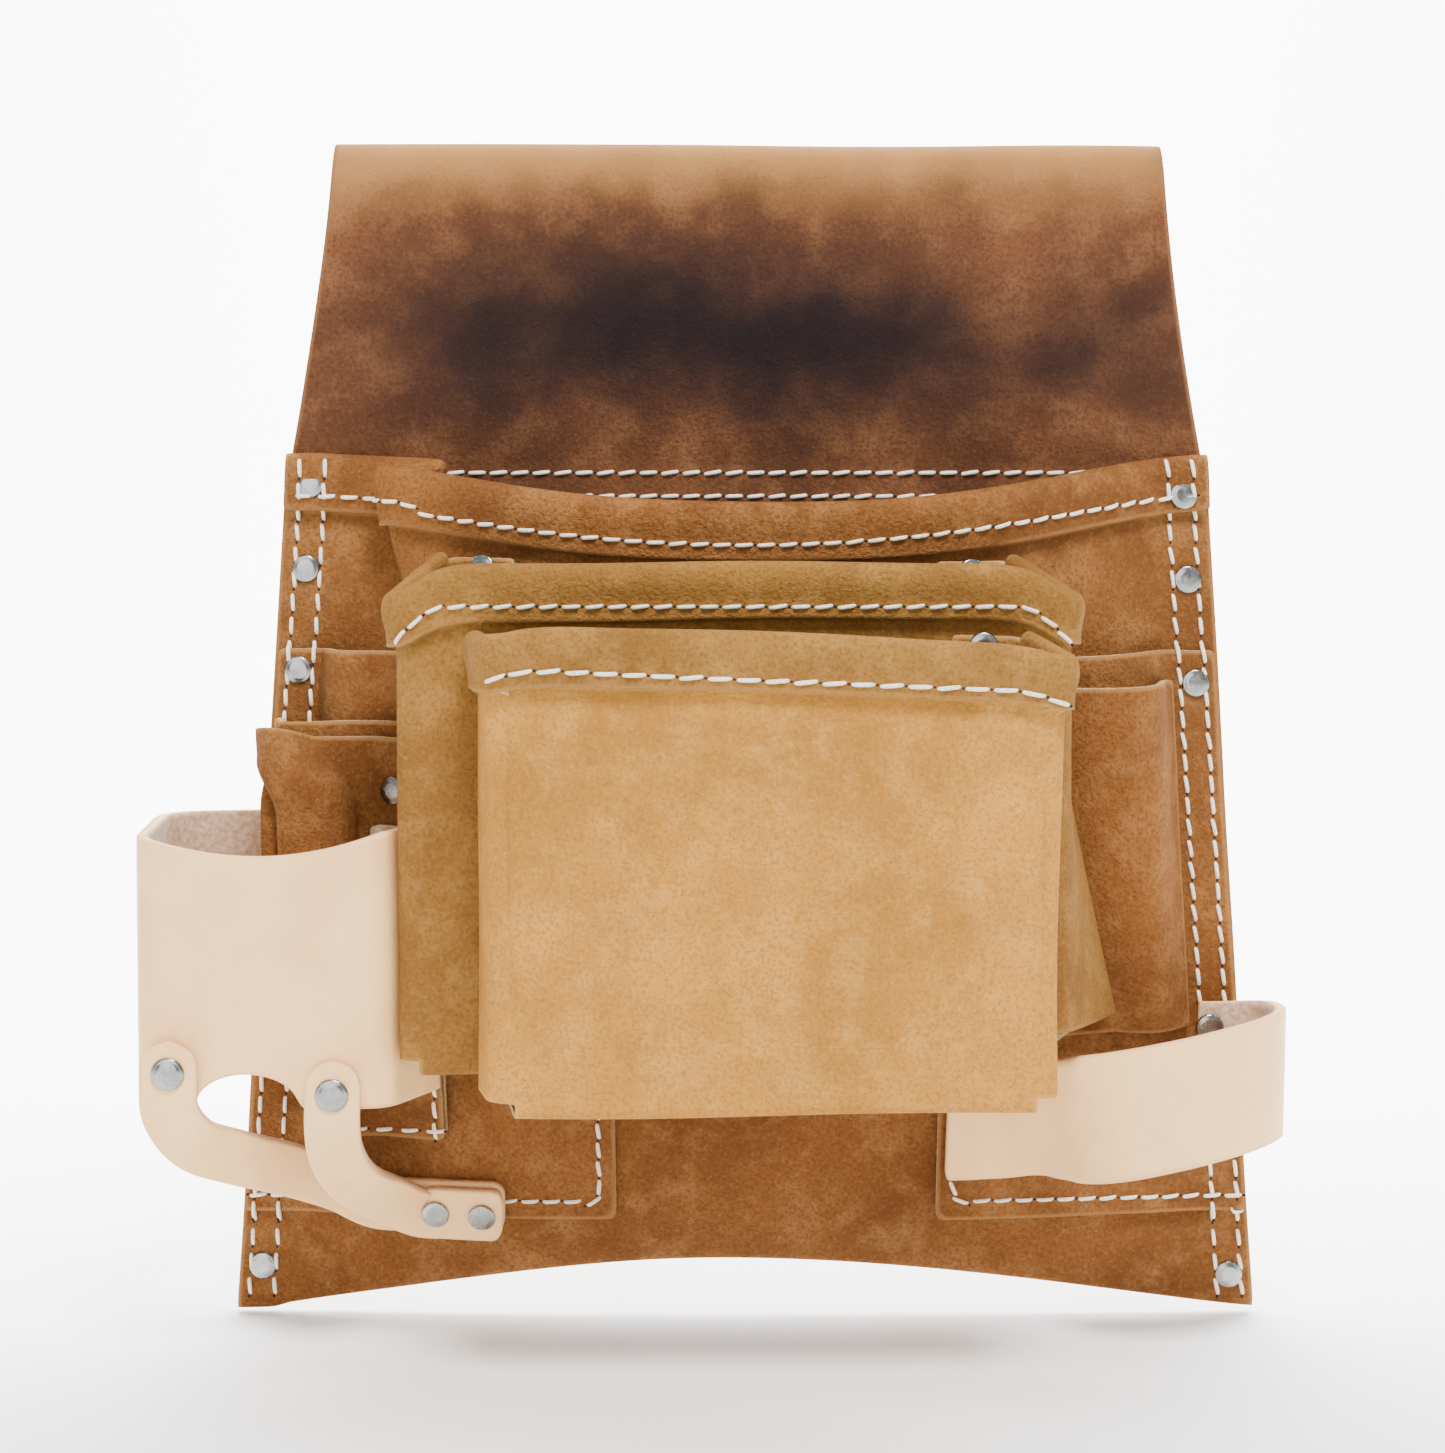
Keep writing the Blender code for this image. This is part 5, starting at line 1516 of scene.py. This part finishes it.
class BagColours(bpy.types.PropertyGroup):
    """Colours of the finishes"""

    rust_shade: color_setting("Rust suede, shade", "Body and tool pockets", "#5F391A")
    rust: color_setting("Rust suede", "Body and tool pockets", "#86552A")
    rust_lit: color_setting("Rust suede, lit", "Nap stroked to the light", "#A47342")
    tunnel_shade: color_setting("Tunnel suede, shade", "Belt tunnel and pocket lining", "#4C2F1D")
    tunnel: color_setting("Tunnel suede", "Belt tunnel and pocket lining", "#6A4229")
    tunnel_lit: color_setting("Tunnel suede, lit", "Nap stroked to the light", "#875C3B")
    # Painted shade for the belt tunnel's middle
    tunnel_painted_shade: color_setting("Tunnel painted shade", "Painted shade on the belt tunnel's middle", "#1E1617")
    # Painted highlight for the belt tunnel's top fold
    tunnel_painted_highlight: color_setting("Tunnel fold, painted highlight", "Painted highlight on the belt tunnel's top fold", "#A87844")
    tan_shade: color_setting("Tan suede, shade", "Rear nail pocket", "#6E481F")
    tan: color_setting("Tan suede", "Rear nail pocket", "#936930")
    tan_lit: color_setting("Tan suede, lit", "Nap stroked to the light", "#AA7D42")
    gold_shade: color_setting("Golden suede, shade", "Front nail pocket", "#946428")
    gold: color_setting("Golden suede", "Front nail pocket", "#C5893A")
    gold_lit: color_setting("Golden suede, lit", "Nap stroked to the light", "#D09C4E")
    edge: color_setting("Suede cut edge", "Raw edge of the suede", "#BCA274")
    edge_shade: color_setting("Suede cut edge, shade", "Raw edge of the suede", "#7E6238")
    bridle: color_setting("Bridle leather", "Undyed straps", "#FFD08C")
    bridle_warm: color_setting("Bridle leather, warm", "Undyed straps", "#F8C384")
    flesh: color_setting("Flesh side", "Back of the straps", "#CDAE92")
    flesh_shade: color_setting("Flesh side, shade", "Back of the straps", "#A88264")
    thread: color_setting("Thread", "Stitching", "#FAF4E6")
    thread_shade: color_setting("Thread, shade", "Stitching", "#D9CCB2")
    nickel: color_setting("Nickel", "Rivets", "#A3A5A3")
    # Painted shade inside the needle holes
    needle: color_setting("Needle holes", "Inside a needle hole", "#2B160B")
    paper: color_setting("Paper", "Studio sweep", "#FFFFFF")


FINISHES = {}
RUST = ("rust", "tunnel", "edge")
BRIDLE_LOOK = ("bridle", "flesh", "bridle_edge")


def make_finishes():
    """Fills FINISHES from the colours set in the panel."""

    def dyes(*names):
        colours = bpy.context.scene.bag_colours
        return [(*getattr(colours, name), 1.0) for name in names]

    for key, name, nap_depth in (
        ("rust", "split_suede_rust", 0.5 * MM),
        ("tan", "split_suede_tan", 0.4 * MM),
        ("gold", "split_suede_golden", 0.4 * MM),
    ):
        FINISHES[key] = suede(name, *dyes(key + "_shade", key, key + "_lit"), nap_depth, 0.12)
    # The tunnel's suede carries painted shade in its middle and a painted highlight on its top fold
    FINISHES["tunnel"] = suede(
        "split_suede_tunnel",
        *dyes("tunnel_shade", "tunnel", "tunnel_lit"),
        0.28 * MM,
        0.06,
        tunnel_painted_light(*dyes("tunnel_painted_shade", "tunnel_painted_highlight")),
    )
    FINISHES["edge"] = cut_edge("suede_cut_edge", *dyes("edge", "edge_shade"))
    FINISHES["bridle"] = bridle_grain("bridle_leather_grain", *dyes("bridle", "bridle_warm"))
    FINISHES["flesh"] = bridle_flesh("bridle_leather_flesh", *dyes("flesh", "flesh_shade"))
    FINISHES["bridle_edge"] = cut_edge("bridle_cut_edge", *dyes("bridle_warm", "flesh"))
    FINISHES["thread"] = waxed_thread("waxed_thread", *dyes("thread", "thread_shade"))
    FINISHES["nickel"] = nickel_plated("nickel_plate_bright", *dyes("nickel"))
    FINISHES["needle"] = plain("needle_hole_shade", *dyes("needle"), 1.0, 0.4 * MM, 0.5)
    FINISHES["paper"] = plain("studio_paper", *dyes("paper"), 0.9, 3 * MM, 0.985)


def looks(*names):
    return [FINISHES[name] for name in names]


class BAG_OT_body(bpy.types.Operator):
    """The folded hide: main pocket, back panel and belt tunnel"""

    bl_idname = "bag.body"
    bl_label = "Body and belt tunnel"

    def execute(self, context):
        rows, hem = body_lattice()

        def region(r):
            return (FACE, FACE) if r < hem else (FACE, BACK)

        leather_piece("bag_body", rows, SUEDE, looks(*RUST), region=region)
        return {"FINISHED"}


class BAG_OT_tool_pockets(bpy.types.Operator):
    """The two tool pockets sewn flat on the body"""

    bl_idname = "bag.tool_pockets"
    bl_label = "Tool pockets"

    def execute(self, context):
        for node, inner_x in (
            ("left_tool_pocket", LEFT_TOOL_INNER_X),
            ("right_tool_pocket", RIGHT_TOOL_INNER_X),
        ):
            rows = tool_pocket_lattice(inner_x)
            leather_piece(node, rows, SUEDE, looks(*RUST))
        return {"FINISHED"}


class BAG_OT_slots(bpy.types.Operator):
    """The two slots at the left and the small pocket at the right"""

    bl_idname = "bag.slots"
    bl_label = "Slots and small pocket"

    def execute(self, context):
        outer, inner = slot_lattices()
        leather_piece("left_outer_slot", outer, SUEDE, looks(*RUST))
        leather_piece("left_inner_slot", inner, SUEDE, looks(*RUST))
        small = small_pocket_lattice()
        leather_piece("right_small_pocket", small, SUEDE, looks(*RUST))
        return {"FINISHED"}


class BAG_OT_nail_pockets(bpy.types.Operator):
    """The two box shaped nail pockets, the front one on the rear one's face"""

    bl_idname = "bag.nail_pockets"
    bl_label = "Nail pockets"

    def execute(self, context):
        rows, cells = rear_pocket_lattice()
        leather_piece("rear_nail_pocket", rows, SUEDE, looks("tan", "tan", "edge"), cells)
        rows, cells = front_pocket_lattice()
        leather_piece("front_nail_pocket", rows, SUEDE, looks("gold", "tan", "edge"), cells)
        return {"FINISHED"}


class BAG_OT_holder(bpy.types.Operator):
    """The square holder and the two narrow straps under it"""

    bl_idname = "bag.holder"
    bl_label = "Square holder and straps"

    def execute(self, context):
        bridle = looks(*BRIDLE_LOOK)
        leather_piece("square_holder", holder_lattice(), BRIDLE, bridle)
        for node, start_x, points, base_from, height in (
            ("holder_strap_left", LEFT_STRAP_X, LEFT_STRAP_ROUTE, LEFT_BASE_X, 0.0),
            (
                "holder_strap_right",
                RIGHT_STRAP_X,
                RIGHT_STRAP_ROUTE,
                RIGHT_BASE_X,
                BRIDLE + 2 * CLEARANCE,
            ),
        ):
            rows = narrow_strap_lattice(start_x, points, base_from, height)
            leather_piece(node, rows, BRIDLE, bridle)
        return {"FINISHED"}


class BAG_OT_hammer_loop(bpy.types.Operator):
    """The wide strap looped out at the right for a hammer"""

    bl_idname = "bag.hammer_loop"
    bl_label = "Hammer loop"

    def execute(self, context):
        bridle = looks(*BRIDLE_LOOK)
        leather_piece("hammer_loop", hammer_loop_lattice(), BRIDLE, bridle)
        return {"FINISHED"}


# (share of the radius, height in mm) of what is turned about the rivet's axis
HEAD_SHANK = RIVET_SHANK / WIDE_RIVET_HEAD
BURR_SHANK = RIVET_SHANK / RIVET_BURR
HEAD_PROFILE = (
    (0, 1.3), (0.5, 1.28), (0.74, 1.18), (0.8, 1.02), (0.88, 1.06), (0.95, 0.86), (1.0, 0.42),
    (0.98, 0.02), (HEAD_SHANK, -0.05), (HEAD_SHANK, -2.4), (0, -2.4),
)
BURR_PROFILE = (
    (0, -1.25), (BURR_SHANK * 0.8, -1.2), (BURR_SHANK, -0.8), (0.84, -0.82), (1.0, -0.55),
    (1.0, 0.0), (BURR_SHANK, 0.05), (BURR_SHANK, 1.8), (0, 1.8),
)


class BAG_OT_rivets(bpy.types.Operator):
    """Every rivet's head and burr"""

    bl_idname = "bag.rivets"
    bl_label = "Rivets"

    def execute(self, context):
        seats = rivet_seats()
        parts = []
        for name, across, profile, sides in (
            ("rivet_head", WIDE_RIVET_HEAD, HEAD_PROFILE, 32),
            ("rivet_burr", RIVET_BURR, BURR_PROFILE, 24),
        ):
            points = [(across / 2 * share, height * MM) for share, height in profile]
            parts.append(lathed_part(name, points, sides))
        head, burr = parts
        for name, part, seed in (("rivet_heads", head, 3), ("rivet_burrs", burr, 4)):
            points, facing, scale = [], [], []
            for _, top, axis, grip, across in seats:
                place = settled(top)
                if part is burr:
                    place = settled(top - axis * grip)
                points.append(place)
                facing.append(axis)
                scale.append(across / WIDE_RIVET_HEAD if part is head else 1.0)
            mesh = bpy.data.meshes.new(name)
            mesh.from_pydata(points, [], [])
            attribute = mesh.attributes.new("facing", "FLOAT_VECTOR", "POINT")
            attribute.data.foreach_set("vector", [v for way in facing for v in way])
            attribute = mesh.attributes.new("size", "FLOAT", "POINT")
            attribute.data.foreach_set("value", scale)
            guide = linked(name + "_guide", mesh)
            look = FINISHES["nickel"]
            piece = placed_piece(name, guide, part, False, 0.0, pi, seed, look, "nickel_plate")
            piece.data.set_sharp_from_angle(angle=radians(50))
            if part is head:
                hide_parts(*(seat[0] for seat in seats))
        return {"FINISHED"}


def seam_marks():
    """Every row of stitching: the piece it is on, its marks from above down or left to right,
    whether it is on the back, and whether its stitches are long."""
    rows = []
    foot = -BODY_DROP + SIDE_ROW_FOOT
    for sign in (-1, 1):
        for inset in SIDE_ROWS:
            marks = []
            for z in spread(-MOUTH_DROP - 4 * MM, foot, 24):
                marks.append((sign * (half_width(z) - inset), z))
            rows.append(("side", marks, False, False))
            rows.append(("bag_body", marks, True, False))
    reach = BODY_TOP_WIDTH / 2 - 6 * MM
    for below in TUNNEL_ROWS:
        marks = [(-reach, TUNNEL_FOOT - below), (reach, TUNNEL_FOOT - below)]
        rows.append(("panel", marks, False, False))
        rows.append(("bag_body", marks, True, False))
    hem = []
    for x in spread(-BODY_TOP_WIDTH / 2 + 5 * MM, BODY_TOP_WIDTH / 2 - 5 * MM, 60):
        hem.append((x, mouth_z(x, x > PLEAT_X) - HEM + HEM_ROW))
    rows.append(("bag_body", hem, False, False))
    return rows


def hem_marks(left, right, tops, corner_droop):
    """Marks along a nail pocket's hem, which droops at its corners: tops are the mouth's heights
    at its left and right."""
    marks = []
    for x in spread(left + 0.8 * MM, right - 0.8 * MM, 40):
        share = (x - left) / (right - left)
        side = min(x - left, right - x) / (12 * MM)
        droop = corner_droop * max(1 - side, 0.0) ** 1.5
        marks.append((x, mix(*tops, share) - HEM + HEM_ROW - droop))
    return marks


def pocket_marks():
    """The same for the rows on the pockets."""
    rows = []
    foot = -TOOL_BOTTOM_DROP + POCKET_ROW
    corner = 8 * MM
    for node, inner_x, sign in (
        ("left_tool_pocket", LEFT_TOOL_INNER_X, -1),
        ("right_tool_pocket", RIGHT_TOOL_INNER_X, 1),
    ):
        x = inner_x + sign * POCKET_ROW
        outer = sign * (half_width(foot) - POCKET_ROW)
        marks = [(x, -TOOL_MOUTH_DROP - 3 * MM), (x, foot + corner), (x, foot), (outer, foot)]
        rows.append((node, marks, False, False))
    x = SLOT_RIGHT_X - 4 * MM
    foot = -SLOT_BOTTOM_DROP + 1 * MM
    rows.append(("left_inner_slot", [(x, -SLOT_MOUTH_DROP - 8 * MM), (x, foot)], False, False))
    rows.append(("left_inner_slot", [(SLOT_LEFT_X + 10 * MM, foot), (x, foot)], False, False))
    tops = (-REAR_TOP_DROP, -REAR_TOP_DROP)
    marks = hem_marks(REAR_LEFT_X, REAR_RIGHT_X, tops, REAR_CORNER_DROOP)
    rows.append(("rear_nail_pocket", marks, False, False))
    tops = (-FRONT_TOP_DROP, -FRONT_TOP_DROP - FRONT_TOP_TILT)
    marks = hem_marks(FRONT_LEFT_X, FRONT_RIGHT_X, tops, FRONT_CORNER_DROOP)
    rows.append(("front_nail_pocket", marks, False, True))
    return rows


def split_sides(rows):
    """Side rows run over the tool pockets where those cover the body."""
    split = []
    for piece, marks, back, long in rows:
        if piece != "side":
            split.append((piece, marks, back, long))
            continue
        pocket = "left_tool_pocket" if marks[0][0] < 0 else "right_tool_pocket"
        mouth, foot = -TOOL_MOUTH_DROP, -TOOL_BOTTOM_DROP
        dense = []
        for (x0, z0), (x1, z1) in zip(marks, marks[1:]):
            dense += [(mix(x0, x1, k / 8), mix(z0, z1, k / 8)) for k in range(8)]
        dense.append(marks[-1])
        above = [mark for mark in dense if mark[1] > mouth]
        beside = [mark for mark in dense if foot < mark[1] <= mouth]
        below = [mark for mark in dense if mark[1] <= foot]
        split.append(("bag_body", above, False, long))
        split.append((pocket, beside, False, long))
        split.append(("bag_body", below, False, long))
    return split


class BAG_OT_stitching(bpy.types.Operator):
    """All the lockstitch rows and their needle holes"""

    bl_idname = "bag.stitching"
    bl_label = "Stitching"

    def execute(self, context):
        sizes = context.scene.bag_sizes
        short, long = [], []
        for piece, marks, back, is_long in split_sides(seam_marks() + pocket_marks()):
            if piece == "panel":
                seams = panel_seams(marks)
            else:
                seams = seam_on(piece + "_leather", marks, back)
            (long if is_long else short).extend(seams)
        for name, seams, step, seed in (
            ("stitches", short, sizes.stitch_step, 11),
            ("long_stitches", long, sizes.long_stitch_step, 12),
        ):
            stitch = stitch_part(step - sizes.stitch_gap, sizes.thread)
            hole = hole_part(step, sizes.needle)
            for piece, part, wander, finish_name, slot in (
                (name, stitch, radians(4), "thread", "undyed_bridle_leather"),
                ("needle_holes_" + name, hole, 0.0, "needle", "brown_suede"),
            ):
                guide = seam_guide(piece + "_guide", seams)
                look = FINISHES[finish_name]
                placed_piece(piece, guide, part, True, step, wander, seed, look, slot)
        return {"FINISHED"}


def panel_seams(marks):
    """Seams on the tunnel's front wall and the panel just below it, behind the main pocket."""
    (x0, z0), (x1, _) = marks
    graph = bpy.context.evaluated_depsgraph_get()
    surface = BVHTree.FromObject(bpy.data.objects["bag_body_leather"], graph)
    seam = []
    for x in spread(x0, x1, 160):
        start = Vector((x, -PANEL_FACE - 2.2 * MM, z0))
        place, normal, _, _ = surface.ray_cast(start, Vector((0, 1, 0)), 8 * MM)
        if place is None:
            continue
        seam.append((place, -normal if normal.y > 0 else normal))
    return [seam]


class BAG_OT_stage(bpy.types.Operator):
    """The paper sweep, the lights and the camera"""

    bl_idname = "bag.stage"
    bl_label = "Stage"

    def execute(self, context):
        scene = context.scene
        low = CAD_BOX[0][2] - 1 * MM
        profile = [(SWEEP_FRONT, 0.0), (SWEEP_BEND, 0.0)]
        for angle in spread(0.0, pi / 2, 13):
            rise = SWEEP_RADIUS * (1 - cos(angle))
            profile.append((SWEEP_BEND + SWEEP_RADIUS * sin(angle), rise))
        profile.append((SWEEP_BEND + SWEEP_RADIUS, SWEEP_TOP))
        bm = bmesh.new()
        ends = []
        for x in (-SWEEP_HALF_WIDTH, SWEEP_HALF_WIDTH):
            ends.append([bm.verts.new((x, y, low + z)) for y, z in profile])
        for a, b, c, d in zip(ends[0], ends[0][1:], ends[1][1:], ends[1]):
            bm.faces.new((a, d, c, b))
        mesh = bpy.data.meshes.new("paper_sweep")
        bm.to_mesh(mesh)
        bm.free()
        mesh.materials.append(FINISHES["paper"])
        mesh.shade_smooth()
        linked("paper_sweep", mesh)
        world = bpy.data.worlds.new("studio")
        world.use_nodes = True
        sky = world.node_tree.nodes["Background"]
        sky.inputs["Color"].default_value = (1.0, 0.99, 0.97, 1.0)
        sky.inputs["Strength"].default_value = SKY_STRENGTH
        scene.world = world
        for name, place, aim, size, power in LIGHTS:
            lamp = bpy.data.lights.new(name, "AREA")
            lamp.energy = power
            lamp.size = size
            light = linked(name, lamp)
            light.location = place
            way = Vector(aim) - Vector(place)
            light.rotation_euler = way.to_track_quat("-Z", "Y").to_euler()
        lens = bpy.data.cameras.new("camera")
        lens.sensor_fit = "HORIZONTAL"
        lens.sensor_width = 36.0
        lens.lens = LENS
        lens.clip_start = 0.05
        camera = linked("camera", lens)
        back = Vector((0.0, -cos(CAMERA_LIFT), sin(CAMERA_LIFT)))
        camera.location = Vector(CAMERA_AIM) + back * CAMERA_DISTANCE
        camera.rotation_euler = (pi / 2 - CAMERA_LIFT, 0.0, 0.0)
        scene.camera = camera
        return {"FINISHED"}


class BAG_PT_panel(bpy.types.Panel):
    """The bag's pieces and settings"""

    bl_idname = "BAG_PT_panel"
    bl_label = "Tool bag"
    bl_space_type = "VIEW_3D"
    bl_region_type = "UI"
    bl_category = "Tool bag"

    def draw(self, context):
        for operator in OPERATORS:
            self.layout.operator(operator.bl_idname)
        for group, kind in (
            (context.scene.bag_sizes, BagSizes),
            (context.scene.bag_colours, BagColours),
        ):
            for name in kind.__annotations__:
                self.layout.prop(group, name)


OPERATORS = (
    BAG_OT_body,
    BAG_OT_tool_pockets,
    BAG_OT_slots,
    BAG_OT_nail_pockets,
    BAG_OT_holder,
    BAG_OT_hammer_loop,
    BAG_OT_rivets,
    BAG_OT_stitching,
    BAG_OT_stage,
)
CLASSES = (BagSizes, BagColours, *OPERATORS, BAG_PT_panel)


def register():
    for kind in CLASSES:
        bpy.utils.register_class(kind)
    bpy.types.Scene.bag_sizes = PointerProperty(type=BagSizes)
    bpy.types.Scene.bag_colours = PointerProperty(type=BagColours)


def unregister():
    del bpy.types.Scene.bag_colours
    del bpy.types.Scene.bag_sizes
    for kind in reversed(CLASSES):
        bpy.utils.unregister_class(kind)


def main():
    register()
    make_finishes()
    bpy.ops.bag.body()
    bpy.ops.bag.tool_pockets()
    bpy.ops.bag.slots()
    bpy.ops.bag.nail_pockets()
    bpy.ops.bag.holder()
    bpy.ops.bag.hammer_loop()
    bpy.ops.bag.rivets()
    bpy.ops.bag.stitching()
    bpy.ops.bag.stage()


if __name__ == "__main__":
    main()
